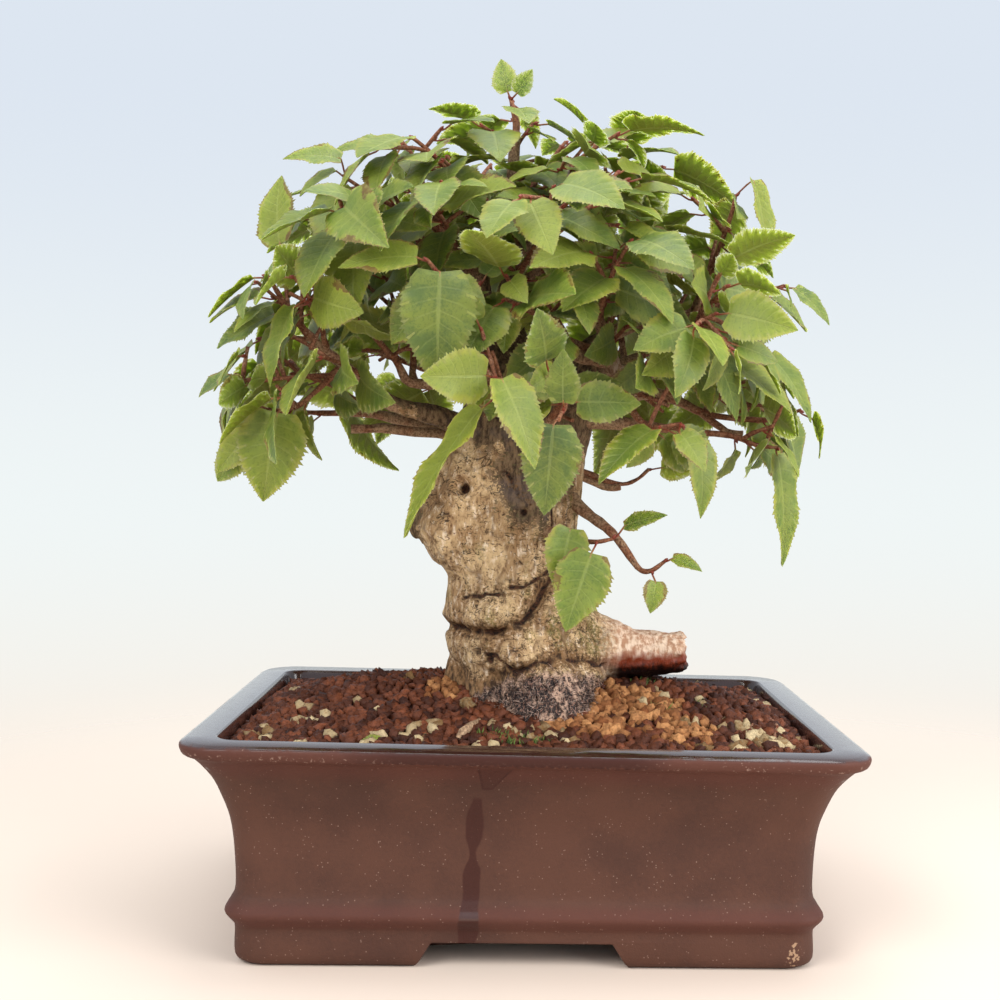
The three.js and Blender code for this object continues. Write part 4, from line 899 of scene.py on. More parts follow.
def inner_half(z):
    """Half-length of the inner wall at a height"""
    heights = [wall[0] for wall in reversed(INNER_WALL)]
    halves = [wall[1] for wall in reversed(INNER_WALL)]
    return float(np.interp(z, heights, halves))


def soil_rings(inset, drop, steps):
    """Rings over the soil from the wall to the middle, and the number of points in each"""
    half = inner_half(SOIL_EDGE) - inset
    edge = pot_ring(SOIL_EDGE, half, corner_at(half) - INNER_CORNER_LESS, *SOIL_STEPS)
    points = []
    for step in range(steps):
        share = 1 - step / steps
        points += [(x * share, y * share, soil_top(x * share, y * share) - drop) for x, y, _ in edge]
    return points, len(edge)


def make_bed(material):
    """The soil's body under its grains"""
    points, count = soil_rings(GAP, BED_DROP, BED_RINGS)
    walls = []
    for z in (FLOOR_TOP + GAP, *BED_LEVELS):
        half = inner_half(z) - GAP
        walls += pot_ring(z, half, corner_at(half) - INNER_CORNER_LESS, *SOIL_STEPS)
    points = np.array(walls + points)
    for point in points[len(walls) :]:
        point[2] += 0.8 * noise.noise(Vector(point / 4))
    shape = Shape()
    shape.add(slanted(points), loft_faces(len(points) // count, count))
    return shape.piece("soil_bed", [material])


def spot_share(x, y, spots):
    """How much a place belongs to the nearest of some spots"""
    return max(max(0.0, 1 - (math.hypot(x - sx, y - sy) / reach) ** 2) for sx, sy, reach in spots)


def make_ground(name):
    """The surface that grains or moss are strewn on, marked with what lies where"""
    points, count = soil_rings(GROUND_INSET, GROUND_DROP, GROUND_RINGS)
    points = slanted(points)
    faces = loft_faces(len(points) // count, count)[:-2]
    shape = Shape()
    places = [(p[0], p[1]) for p in points]
    front = [1.0 if y < 0 else 0.4 for _, y in places]
    marks = {
        "pumice": [0.5 * spot_share(x, y, PUMICE_SPOTS) + 0.01 for x, y in places],
        "dry": [spot_share(x, y, DRY_SPOTS) * f for (x, y), f in zip(places, front)],
        "moss": [spot_share(x, y, MOSS_SPOTS) for x, y in places],
    }
    shape.add(points, faces, **marks)
    return shape.piece(name, [])


def open_tree(name, *labels):
    """Geometry nodes with a surface, some lengths and a seed as inputs, and a wire from each input"""
    tree = bpy.data.node_groups.new(name, "GeometryNodeTree")
    kinds = {"Geometry": "Geometry", **dict.fromkeys(labels, "Float"), "Seed": "Int"}
    for label, kind in kinds.items():
        tree.interface.new_socket(label, in_out="INPUT", socket_type=f"NodeSocket{kind}")
    tree.interface.new_socket("Geometry", in_out="OUTPUT", socket_type="NodeSocketGeometry")
    bench = Bench(tree)
    given = tree.nodes.new("NodeGroupInput")
    return bench, [Wire(bench, given.outputs[label]) for label in kinds]


def grain_shape(bench, number):
    """One lumpy shape of grain about as wide as its scale"""
    cube = {"Size": (1, 1, 1), "Vertices X": 3, "Vertices Y": 3, "Vertices Z": 3}
    box = bench.node("GeometryNodeMeshCube", {}, cube)
    here = bench.node("GeometryNodeInputPosition")
    ball = bench.vector("NORMALIZE", here)
    shift = bench.vector("ADD", ball, (7.0 * number, 3.1, 1.7))
    lump = bench.node("ShaderNodeTexNoise", {}, {"Vector": shift, "Scale": 1.5, "Detail": 3.0})
    reach = (lump - 0.5) * 2.1 + 0.5
    place = bench.node("ShaderNodeVectorMath", {"operation": "SCALE"}, {0: ball, "Scale": reach})
    flat = bench.scale(place, (1.15 - 0.05 * number, 0.85 + 0.06 * number, 0.9))
    moved = bench.node("GeometryNodeSetPosition", {}, {"Geometry": box, "Position": flat})
    return bench.node("GeometryNodeGeometryToInstance", {}, {"Geometry": moved})


def grain_tree(material):
    """Nodes that strew several shapes of grain over a surface"""
    bench, wires = open_tree("Soil grains", "Spacing", "Grain Size", "Pumice Size")
    surface, spacing, size, pumice_size, seed = wires
    strewn = {"Mesh": surface, "Distance Min": spacing, "Density Max": 6e5, "Density Factor": 1.0}
    settings = {"distribute_method": "POISSON"}
    points = bench.node("GeometryNodeDistributePointsOnFaces", settings, {**strewn, "Seed": seed})
    chance = bench.chance(3)
    pumice = bench.field("pumice")
    is_pumice = pumice.math("GREATER_THAN", pumice, chance)
    is_dry = pumice.math("GREATER_THAN", bench.field("dry") * 1.3, chance) * 0.5
    points = bench.keep(points, "kind", is_pumice.high(is_dry))
    points = bench.keep(points, "tone", bench.chance(5))
    shapes = [grain_shape(bench, number) for number in range(GRAIN_SHAPES)]
    join = bench.tree.nodes.new("GeometryNodeJoinGeometry")
    for wire in shapes:
        bench.feed(join.inputs[0], wire)
    placed = {
        "Points": points,
        "Instance": Wire(bench, join.outputs[0]),
        "Pick Instance": True,
        "Instance Index": bench.pick("INT", 2, 13, 0, GRAIN_SHAPES - 1),
        "Rotation": bench.turns(7, (0, 0, 0), (FULL_TURN, FULL_TURN, FULL_TURN)),
        "Scale": (size + (pumice_size - size) * is_pumice) * bench.chance(11, 0.75, 1.35),
    }
    grains = bench.node("GeometryNodeInstanceOnPoints", {}, placed)
    return close_tree(bench, grains, material)


def close_tree(bench, instances, material):
    """Instances made real, smooth and given their material"""
    real = bench.node("GeometryNodeRealizeInstances", {}, {"Geometry": instances})
    smooth = bench.node("GeometryNodeSetShadeSmooth", {}, {"Geometry": real, "Shade Smooth": True})
    coloured = bench.node("GeometryNodeSetMaterial", {}, {"Geometry": smooth, "Material": material})
    given = bench.tree.nodes.new("NodeGroupOutput")
    bench.feed(given.inputs[0], coloured)
    return bench.tree


def run_tree(piece, tree, **inputs):
    """A node tree with its inputs set on a piece, then turned into a plain mesh"""
    modifier = piece.modifiers.new(tree.name, "NODES")
    modifier.node_group = tree
    for item in tree.interface.items_tree:
        key = item.name.lower().replace(" ", "_")
        if item.in_out == "INPUT" and key in inputs:
            modifier[item.identifier] = inputs[key]
    bake_modifiers(piece)


def akadama(settings):
    """Baked clay grains: dark and damp, light and dry, or pale grit"""
    bench = Surface("akadama_grains")
    place = bench.place()
    tone = bench.mark("tone")
    kind = bench.mark("kind")
    patch = bench.cloud(place, 1.1, 3, 0.6)
    damp = bench.blend(tone, (*settings.damp_dark, 1), (*settings.damp_light, 1))
    dry = bench.blend(tone, rgb(126, 74, 40), rgb(204, 146, 94))
    worn = bench.step(patch + tone * 0.6, 0.45, 1.15)
    pumice = bench.blend(worn, rgb(124, 92, 56), rgb(220, 196, 152))
    colour = bench.shade(kind, 0.2, 0.3, damp, dry)
    colour = bench.shade(kind, 0.7, 0.8, colour, pumice)
    shaded = bench.blend(0.6, colour, rgb(44, 16, 10))
    colour = bench.blend(bench.step(patch, 0.4, 0.62) * 0.6, colour, shaded)
    roughness = bench.step(kind, 0.1, 0.6, 0.55, 0.9)
    relief = bench.bump(patch + bench.cloud(place, 0.5, 2) * 0.6, 0.45)
    return bench.finish(Base_Color=colour, Roughness=roughness, Normal=relief, Specular_IOR_Level=0.22)


def bed_clay():
    """Dark clay under the grains"""
    bench = Surface("soil_under_grains")
    place = bench.place()
    patch = bench.cloud(place, 2.2, 3, 0.6)
    colour = bench.blend(patch, rgb(34, 14, 9), rgb(78, 38, 22))
    return bench.finish(Base_Color=colour, Normal=bench.bump(patch, 0.8), Roughness=0.9)


def blade_tree(name, mark, lean, material):
    """Nodes that strew thin blades where a mark on the surface says so"""
    bench, wires = open_tree(name, "Blade Length", "Blade Width", "Density")
    surface, length, width, density, seed = wires
    strewn = {"Mesh": surface, "Density": density * bench.field(mark), "Seed": seed}
    settings = {"distribute_method": "RANDOM"}
    points = bench.node("GeometryNodeDistributePointsOnFaces", settings, strewn)
    points = bench.keep(points, "tone", bench.chance(5))
    cone = {"Vertices": 3, "Radius Top": 0.0, "Radius Bottom": width, "Depth": length}
    blade = bench.node("GeometryNodeMeshCone", {"fill_type": "TRIANGLE_FAN"}, cone)
    turn = bench.turns(9, (-lean, -lean, 0), (lean, lean, FULL_TURN))
    placed = {"Points": points, "Instance": blade, "Rotation": turn, "Scale": bench.chance(4, 0.5, 1.3)}
    blades = bench.node("GeometryNodeInstanceOnPoints", {}, placed)
    return close_tree(bench, blades, material)


def make_moss(material):
    """Small tufts of moss in the soil"""
    ground = make_ground("moss")
    tree = blade_tree("Moss blades", "moss", 0.9, material)
    run_tree(ground, tree, blade_length=2.6 * MM, blade_width=0.28 * MM, density=3.2e6, seed=4)
    return ground


def make_fibres(trunk, material):
    """Short root hairs that lie every way on the foot of the trunk"""
    hairs = bpy.data.objects.new("root_fibres", trunk.data.copy())
    bpy.context.collection.objects.link(hairs)
    tree = blade_tree("Root hairs", "fibre", math.pi, material)
    run_tree(hairs, tree, blade_length=2.2 * MM, blade_width=0.1 * MM, density=3e6, seed=6)
    return hairs


def make_litter(materials):
    """A seedling leaf, a chip of bark and a thin root that lie on the soil"""
    shape = Shape()
    sprout = np.array([-43.8, -51.5, 62.0])
    stem = [sprout, sprout + (0.3, -0.4, 2), sprout + (1.2, -1.0, 3.2)]
    shape.add(*tube(stem, (0.25, 0.22, 0.2), 6), 2, along=0.8)
    ahead, face = unit(np.array([-0.9, -0.35, 0.2])), np.array([0.1, -0.5, 0.9])
    leaf = Leaf("sprout", sprout, stem[-1], ahead, face, 6, 4.6, draws(5))
    add_leaf(shape, leaf, blade_pattern(SHORT_VEINS), draws(9))
    chip = [(-20.4, -50, 64.6), (-18.6, -46, 66.6), (-16.4, -41, 67.6), (-13.6, -35, 68.2)]
    points, faces = tube(chip, (0.7, 1.7, 1.8, 0.6), 9, 0.9, 3)
    shape.add(points, faces, 3, girth=1.0, tone=0.2)
    loop = [(68.5, -35.5, 63.5), (72, -28, 65.4), (75.8, -20.8, 65.8), (80.3, -16, 64.9), (80.6, -24, 64.6)]
    loop += [(78.4, -32.2, 64.2), (76.4, -42, 63.8), (74.7, -51.2, 62.6)]
    points, faces = limb(loop, (0.75, 0.45), 8, 0.5, 8)
    shape.add(points, faces, 3, girth=0.4, tone=0.4)
    return shape.piece("soil_litter", materials, LEAF_EDGE)


def root_hair():
    """Fine hairs from purple-black to pale"""
    bench = Surface("root_hair")
    colour = bench.shade(bench.mark("tone"), 0.25, 1.0, rgb(36, 22, 19), rgb(214, 184, 166))
    return bench.finish(Base_Color=colour, Roughness=0.85, Specular_IOR_Level=0.05)


def moss_green():
    """Moss from deep to yellowish green"""
    bench = Surface("moss_green")
    colour = bench.blend(bench.mark("tone"), rgb(42, 66, 22), rgb(112, 138, 52))
    patch = bench.cloud(bench.place(), 1.5, 1)
    colour = bench.blend(patch * 0.4, colour, rgb(60, 70, 30))
    return bench.finish(Base_Color=colour, Roughness=0.8)


# The trunk and the wood


def roughness_at(points, size, seed=0.0):
    """Noise between -1 and 1 at every point"""
    shift = Vector((seed, seed * 1.7, -seed))
    return np.array([noise.noise(Vector(p) / size + shift) for p in points])


def ramp(values, span):
    """From 0 at 0 to 1 at the span"""
    return np.clip(values / span, 0, 1)


def bell(values, reach):
    """1 at 0, fading on both sides"""
    return np.exp(-((values / reach) ** 2))


def distance_to_path(places, path):
    """Distance of places in a plane from a line through points"""
    best = np.full(len(places), 1e9)
    for a, b in zip(path[:-1], path[1:]):
        a, b = np.array(a, float), np.array(b, float)
        share = np.clip(((places - a) @ (b - a)) / ((b - a) @ (b - a)), 0, 1)
        best = np.minimum(best, np.linalg.norm(places - (a + share[:, None] * (b - a)), axis=1))
    return best


def fine_trunk():
    """Rings of the bare trunk between its levels"""
    levels = curve_through(TRUNK, 3)
    points = []
    for z, left, right, front, back in levels:
        for k in range(TRUNK_SIDES):
            angle = 2 * math.pi * k / TRUNK_SIDES
            c, s = math.cos(angle), math.sin(angle)
            ridge = 1 + 0.06 * s * s * math.sin(4 * angle + 0.09 * z)
            ridge += 0.03 * s * math.sin(7 * angle - 0.13 * z)
            reach_x = (right - left) / 2 * math.copysign(abs(c) ** 0.9, c)
            reach_y = (-front if s < 0 else back) * math.copysign(abs(s) ** 0.9, s)
            points.append(((left + right) / 2 + reach_x * ridge, reach_y * ridge, z))
    return points, loft_faces(len(levels), TRUNK_SIDES)


def wood_radii(branch):
    """Radii along the wood of a branch: it thins quickly at first and then slowly"""
    last = len(branch.wood) - 1
    return [branch.end + (branch.start - branch.end) * (1 - i / last) ** WOOD_TAPER for i in range(last + 1)]


def wood_line(branch):
    """A smooth line along the wood and the leafy twig, with radii, and where the twig starts"""
    count = len(branch.twig)
    tips = [branch.end + (TWIG_END - branch.end) * (i + 1) / count for i in range(count)]
    rows = np.column_stack([np.array(branch.wood + branch.twig, float), wood_radii(branch) + tips])
    return curve_through(rows, WOOD_STEPS), (len(branch.wood) - 1) * WOOD_STEPS


def make_trunk(material):
    """The trunk with its roots and thick limbs, fused and then given bark"""
    shape = Shape()
    shape.add(*fine_trunk())
    for start, end, points in (*ROOTS, STUMP_THROAT):
        shape.add(*limb(points, (start, end), ROOT_SIDES))
    for branch in BRANCHES:
        rows, twig = wood_line(branch)
        rows = rows[: twig + 1]
        thick = rows[rows[:, 3] > THIN_WOOD * 0.85]
        if len(thick) > 1 and branch.start > THIN_WOOD:
            shape.add(*tube(thick[:, :3], thick[:, 3], LIMB_SIDES))
    trunk = shape.piece("trunk_bark", [material])
    modify(trunk, "Fuse", "REMESH", mode="VOXEL", voxel_size=FUSED_GRAIN * MM)
    modify(trunk, "Ease", "SMOOTH", factor=0.5, iterations=3)
    bake_modifiers(trunk)
    carve_bark(trunk.data)
    trunk.data.materials.clear()
    trunk.data.materials.append(material)
    trunk.data.shade_smooth()
    return trunk


def carve_bark(mesh):
    """Lumps, folds, holes and shards in the bark, and marks that the material reads"""
    count = len(mesh.vertices)
    points = np.empty(count * 3)
    normals = np.empty(count * 3)
    mesh.vertices.foreach_get("co", points)
    mesh.vertex_normals.foreach_get("vector", normals)
    points = points.reshape(-1, 3) / MM
    normals = normals.reshape(-1, 3)
    x, y, z = points.T

    # Broad and narrow lumps and cracks, stronger on the old lower trunk, and fine bumps
    low = ramp(168 - z, 10)
    stretched = points * (1, 1, 0.45)
    wide = roughness_at(points, 11, 3)
    middle = roughness_at(stretched, 4.2, 5)
    small = roughness_at(points, 1.9, 8)
    grown = 0.35 + 0.65 * low
    push = grown * (0.9 * wide + 0.55 * middle) + 0.22 * small
    cracks = np.clip(1 - np.abs(roughness_at(points * (1, 1, 0.6), 5.5, 12)) / 0.09, 0, 1)
    push -= 0.45 * cracks * grown

    # Folds in front, each with a roll beside it, and holes with lips; the dark in the folds and holes is
    # painted shade
    front = ramp(4 - y, 6)
    plane = points[:, [0, 2]]
    crease = np.zeros(count)
    wander = 1.6 * roughness_at(points, 5, 20) + 0.5 * roughness_at(points, 1.6, 21)
    broken = np.clip(0.95 + 1.2 * roughness_at(points, 3.5, 24), 0.3, 1)
    shade_beside_folds = np.zeros(count)
    wavy = plane + np.column_stack([0.6 * wander, wander])
    for depth, reach, path in FOLDS:
        away = distance_to_path(wavy, path)
        fold = bell(away, reach) * front * broken
        roll = bell(away - 3.4, 2.4) * front
        # A wide painted shade beside each fold, which the material shows as dark bark
        shade_beside_folds = np.maximum(shade_beside_folds, bell(away, reach * 3) * front * min(1, depth))
        push += -depth * fold + 0.3 * depth * roll
        # Painted shade along the middle of each fold
        crease = np.maximum(crease, bell(away, reach * 0.75) * front * broken * min(1, depth + 0.3))
    for hx, hz, radius, depth, lip in HOLES:
        away = np.hypot(x - hx, z - hz)
        push -= depth * np.exp(-((away / radius) ** 2 * 1.1)) * front
        push += lip * bell(away - radius * 1.9, radius * 0.7) * front
        # Painted shade inside each hole
        crease = np.maximum(crease, np.exp(-((away / (radius * 0.95)) ** 4)) * front * min(1, depth / 1.6))

    # Broken bark on the left, and one fold behind, darkened with painted shade
    shard = bell(z - 127.5, 6.5) * ramp(-29 - x, 4) * bell(y + 4 + 3 * middle, 8)
    push += shard * (1.2 + 3.2 * np.abs(roughness_at(points * (1, 1, 0.7), 2.3, 30)) - 1.0)
    behind = bell(distance_to_path(wavy, BACK_FOLD), 1.6) * (1 - front) * broken
    push -= 1.2 * behind
    crease = np.maximum(crease, 0.7 * behind)

    # Matted roots under a line, and the cut stump with its frayed end and wet lower side
    root_line = np.interp(x, ROOT_LINE_X, ROOT_LINE_Z)
    fibre = np.clip((root_line - z) / 3 + 0.6 * small, 0, 1) * ramp(6 - y, 6)
    push += fibre * (0.9 * roughness_at(points * (1.6, 1.6, 0.5), 1.6, 40) - 0.6 * middle)
    stump = ramp(x - 24, 8) * ramp(z - 70, 4)
    push += stump * (0.6 * roughness_at(points * (0.3, 1, 1), 1.9, 50) - push * 0.5)
    frayed = stump * ramp(x - 49, 4)
    push += frayed * 1.7 * roughness_at(points * (0.25, 1, 1), 1.6, 60)
    soaked = stump * ramp(87 + 2 * wide + 1.5 * small - z, 3)
    points += normals * push[:, None]
    mesh.vertices.foreach_set("co", (points * MM).ravel())

    # What the material reads: darker bark towards the top with painted shade under the crown in the same
    # mark, green film, and a dark foot that also holds painted shade beside the folds
    old = ramp(z - 149 + 0.2 * x + 8 * wide + 5 * middle, 8)
    # Painted shade on the trunk under the crown, kept in the same mark as the darker top
    shade = 1.4 * np.exp(-(((x - 1) / 12) ** 2) - ((z - 142) / 15) ** 2) + 0.5 * middle
    shade = np.clip(shade - 0.1, 0, 1) * front
    moss = np.clip(middle * 1.4 + 0.25 + 0.02 * x - np.abs(z - 100) / 60, 0, 1)
    base = ramp(86 + 5 * wide + 5 * middle - z, 8) * ramp(14 - x, 10)
    marks = {
        "crease": crease,
        "crack": cracks,
        "old": np.clip(old + shade + shard, 0, 1),
        "green": moss,
        "fibre": fibre,
        "soaked": soaked,
        "stump": stump,
        # The dark foot, with the painted shade beside the folds
        "base": np.maximum(base, 0.75 * shade_beside_folds),
    }
    for name, values in marks.items():
        mesh.attributes.new(name, "FLOAT", "POINT").data.foreach_set("value", values.astype(np.float32))
    mesh.update()


def bark(settings):
    """Pale bark with flecks, green film and dark folds that are painted shade, brown towards the top and in
    painted shade under the crown, and red-black where wet
    """
    bench = Surface("hornbeam_bark")
    place = bench.place()
    grain = bench.scale(place, (1, 1, 0.4))

    # Pale bark with light and dark grain, green film, rusty flecks, pits and dark cuts
    broad = bench.cloud(place, 9, 3)
    fine = bench.cloud(grain, 1.5, 4, 0.7)
    fleck = bench.cloud(bench.scale(place, (1, 1, 1.6)), 1.2, 3, 0.65, 0.6)
    pale = bench.shade(broad, 0.35, 0.65, (*settings.bark_tan, 1), (*settings.bark_cream, 1))
    pale = bench.blend(bench.step(fine, 0.5, 0.72) * 0.8, pale, rgb(248, 228, 202))
    pale = bench.blend(bench.step(fine, 0.47, 0.32) * 0.72, pale, rgb(104, 72, 50))
    green = bench.mark("green") * bench.step(fleck, 0.4, 0.6)
    pale = bench.blend((green * 1.2).low(0.8), pale, rgb(112, 104, 52))
    flecks = bench.step(fleck, 0.56, 0.64) * bench.patches(place, 7, 2, 0.38, 0.56)
    pits = bench.step(bench.cloud(grain, 0.7, 2, 0.6), 0.6, 0.66)
    pits = pits * bench.patches(place, 4, 1, 0.4, 0.6)
    rust = bench.blend(bench.cloud(place, 2.5, 1), rgb(98, 54, 30), rgb(48, 32, 22))
    marks = flecks.high(pits * 0.8).high(bench.mark("crack") * 0.7)
    pale = bench.blend((marks * 0.9).low(0.9), pale, rust)
    winding = bench.cloud(bench.scale(place, (1, 1, 1.8)), 6.5, 3, 0.6, 0.8)
    cuts = bench.step(abs(winding - 0.5), 0.022, 0.005) * bench.patches(place, 5, 2, 0.42, 0.54)
    pale = bench.blend(cuts * 0.9, pale, rgb(46, 30, 20))

    # Darker brown bark towards the top and in painted shade under the crown, and dark bark at the foot and
    # in painted shade beside the folds
    aged = bench.shade(fine, 0.35, 0.65, rgb(62, 46, 34), rgb(136, 110, 82))
    aged = bench.blend(bench.step(fleck, 0.55, 0.65) * 0.6, aged, rgb(102, 98, 64))
    aged = bench.blend(bench.step(broad, 0.55, 0.7) * 0.5, aged, rgb(96, 84, 82))
    # The mark holds the darker top and the painted shade under the crown
    ragged = bench.mark("old") + (fine - 0.5) * 1.3 + (fleck - 0.5) * 1.2
    colour = bench.shade(ragged, 0.4, 0.6, pale, aged)
    lower = bench.shade(fine, 0.38, 0.6, rgb(44, 26, 16), rgb(134, 98, 62))
    at_base = bench.step(bench.mark("base") + (fleck - 0.5) * 1.4, 0.3, 0.7)
    colour = bench.blend(at_base * 0.9, colour, lower)

    # The stump, wet below, the matted roots, whose pale patches are pale hairs and painted highlight, and
    # painted shade in the folds and holes
    stump = bench.shade(fine, 0.4, 0.62, rgb(186, 138, 108), rgb(244, 216, 190))
    colour = bench.blend(bench.mark("stump") * 0.9, colour, stump)
    _, _, height = bench.apart(place)
    wet = bench.shade(height + (fine - 0.5) * 7, 79.5, 83, rgb(24, 12, 11), rgb(124, 50, 26))
    colour = bench.blend(bench.mark("soaked"), colour, wet)
    hairs = bench.cloud(bench.scale(place, (1, 1, 0.35)), 0.55, 2, 0.7, 1.0)
    hairs = bench.shade(hairs, 0.52, 0.64, rgb(28, 16, 14), rgb(150, 110, 92))
    # Pale patches among the root hairs: pale hairs, and partly painted highlight
    patch = bench.patches(place, 5, 2, 0.46, 0.6) * bench.step(fine, 0.42, 0.56)
    fibre = bench.blend(patch * 0.75, hairs, rgb(214, 176, 150))
    colour = bench.blend(bench.mark("fibre"), colour, fibre)
    # Painted shade in the folds, the holes and the fold behind, from dark brown to near black
    deep = bench.shade(fleck, 0.4, 0.6, rgb(26, 16, 11), rgb(76, 46, 28))
    colour = bench.shade(bench.mark("crease") + (fine - 0.5) * 0.9, 0.35, 0.8, colour, deep)

    height = fine * 0.7 + fleck * 0.3 + bench.cloud(place, 0.5, 2) * 0.25
    roughness = 0.85 - bench.mark("soaked") * 0.5 - bench.mark("fibre") * 0.3
    relief = bench.bump(height, settings.bark_relief / MM)
    return bench.finish(Base_Color=colour, Roughness=roughness, Normal=relief, Specular_IOR_Level=0.3)


def make_branches(materials):
    """Branches, spurs and cut stubs as knobby tubes, each starting inside the wood that carries it"""
    shape = Shape()
    for index, branch in enumerate(BRANCHES):
        rows, twig = wood_line(branch)
        rows = rows[: twig + 1]
        thick = int(np.sum(rows[:, 3] > THIN_WOOD)) if branch.start > THIN_WOOD else 0
        rows = rows[max(0, thick - 2) :]
        if thick > 1:
            rows[:2, 3] *= (0.7, 0.88)
        sides = THICK_SIDES if rows[0, 3] > THICK_BRANCH else THIN_SIDES
        points, faces = tube(rows[:, :3], rows[:, 3], sides, BRANCH_KNOBS, index)
        girth = np.repeat(rows[:, 3], sides)
        shape.add(points, faces, girth=np.clip(girth / 3, 0, 1), tone=0.5 + 0.5 * math.sin(index * 2.4))
    for index, (start, end, points) in enumerate(STUBS):
        made, faces = limb(points, (start, end), THIN_SIDES, 0.4, 80 + index)
        shape.add(made, faces, girth=0.6, tone=0.3)
    return shape.piece("branch_bark", materials, BRANCH_EDGE)


def branch_wood():
    """Brown young bark with pale dots"""
    bench = Surface("branch_wood")
    place = bench.place()
    girth = bench.mark("girth")
    fine = bench.cloud(place, 0.9, 3, 0.7)
    broad = bench.cloud(place, 6, 2)
    young = bench.shade(fine, 0.3, 0.7, rgb(92, 48, 32), rgb(160, 106, 76))
    older = bench.shade(fine, 0.3, 0.7, rgb(104, 78, 58), rgb(190, 156, 122))
    colour = bench.shade(girth + (broad - 0.5), 0.3, 0.75, young, older)
    dots = bench.node("ShaderNodeTexVoronoi", {"feature": "F1"}, {"Vector": place, "Scale": 0.8})
    colour = bench.blend(bench.step(dots, 0.2, 0.12) * 0.6, colour, rgb(196, 168, 136))
    relief = bench.bump(fine + broad * 0.4, 0.25)
    return bench.finish(Base_Color=colour, Roughness=0.72, Normal=relief, Specular_IOR_Level=0.3)


# Leaves


# The largest whole number of 32 bits
WORD = 0xFFFFFFFF


def draws(seed):
    """Numbers from 0 to 1 that follow from a whole number, as in the part's source"""
    state = seed & WORD
    while True:
        state = (state + 0x6D2B79F5) & WORD
        t = ((state ^ (state >> 15)) * (state | 1)) & WORD
        t ^= (t + (((t ^ (t >> 7)) * (t | 61)) & WORD)) & WORD
        yield ((t ^ (t >> 14)) & WORD) / (WORD + 1)


def between(ends, share):
    """The number at a share of the way from one end to the other"""
    return ends[0] + (ends[1] - ends[0]) * share


def stray(draw):
    """A small random way, from three draws"""
    return np.array([next(draw) - 0.5 for _ in range(3)])


def half_at(t):
    """Half-width of a leaf, from 0 to 1 of its half-width, at a share of its length"""
    return LEAF_FULLNESS * (1 - t) ** LEAF_TIP * t**LEAF_SHOULDER


def under_dome(points):
    """Whether points lie under the dome of the crown and over its lowest leaves"""
    x, y, z = np.moveaxis((points - CROWN_CENTRE) / DOME, -1, 0)
    level = (np.abs(x) ** 3 + np.abs(y) ** 3) ** (2 / 3)
    return (points[..., 2] > CROWN_FLOOR) & (level + np.maximum(0, z) ** 2 < 1)


def blade_height(numbers, along, across):
    """Height of blades over the planes of their bases, from the numbers that bend them"""
    length, width, curl, fold, wave, phase = numbers
    t = along / length
    half = width / 2
    edge = np.abs(across) / half
    rib = -curl * length * t * t
    folded = fold * half * (edge - 0.55 * edge**2)
    waved = wave * edge**2 * np.sin(9 * t + phase + np.where(across > 0, 1.3, 0.0))
    return rib + folded + waved


def too_near(rows, points, radius, space):
    """Whether any point comes too near to a blade: rows hold each blade's base, frame and numbers"""
    away = points - rows[:, None, :3]
    local = away @ rows[:, 3:BENDS_AT].reshape(-1, 3, 3).transpose(0, 2, 1)
    along, across, over = np.moveaxis(local, 2, 0)
    numbers = rows[:, BENDS_AT:, None].transpose(1, 0, 2)
    length, width = numbers[:2]
    t = np.clip(along / length, 0.05, 0.97)
    half = half_at(t) * width / 2
    beside = (along >= -END_ROOM - radius) & (along <= length + END_ROOM + radius)
    beside &= np.abs(across) <= half + SIDE_ROOM + radius
    gap = np.abs(over - blade_height(numbers, t * length, np.clip(across, -half, half)))
    return bool(np.any(beside & (gap < space + radius)))


class Leaf:
    """Where a leaf grows, the frame of its blade and how the blade is bent"""

    def __init__(self, name, root, base, ahead, face, length, width, draw):
        self.name = name
        self.root = np.asarray(root, float)
        self.base = np.asarray(base, float)
        self.up = unit(face - ahead * (face @ ahead))
        self.frame = np.array([ahead, np.cross(self.up, ahead), self.up])
        self.length = length
        self.width = width
        curl = 0.1 + 0.24 * next(draw)
        fold = 0.12 + 0.42 * next(draw)
        self.numbers = (length, width, curl, fold, 0.03 * length * next(draw), FULL_TURN * next(draw))
        self.row = np.concatenate([self.base, self.frame.ravel(), self.numbers])
        along = np.repeat(BLADE_STATIONS, len(BLADE_ACROSS))
        across = np.tile(BLADE_ACROSS, len(BLADE_STATIONS)) * half_at(along) * width / 2
        self.samples = self.at(along * length, across)
        self.middle = self.samples[BLADE_MIDDLE]
        self.stalk = self.root + STALK_SHARES * (self.base - self.root)

    def at(self, along, across, lift=0.0):
        """Points of the blade"""
        rise = blade_height(self.numbers, along, across) + lift
        return self.base + np.column_stack([along, across, rise]) @ self.frame


class Blades:
    """The leaves placed so far, with tables of their shapes for quick tests"""

    def __init__(self):
        self.leaves = []
        self.rows = np.empty((MOST_LEAVES, BENDS_AT + 6))
        self.samples = np.empty((MOST_LEAVES, len(BLADE_STATIONS) * len(BLADE_ACROSS), 3))
        self.stalks = np.empty((MOST_LEAVES, len(STALK_SHARES), 3))

    def add(self, leaf):
        """One more leaf"""
        count = len(self.leaves)
        self.rows[count] = leaf.row
        self.samples[count] = leaf.samples
        self.stalks[count] = leaf.stalk
        self.leaves.append(leaf)

    def around(self, leaf):
        """Tables of the leaves that could touch a leaf"""
        count = len(self.leaves)
        away = np.linalg.norm(self.samples[:count, BLADE_MIDDLE] - leaf.middle, axis=1)
        near = np.flatnonzero(away <= leaf.length + self.rows[:count, BENDS_AT] + FAR_OFF)
        return self.rows[near], self.samples[near], self.stalks[near]


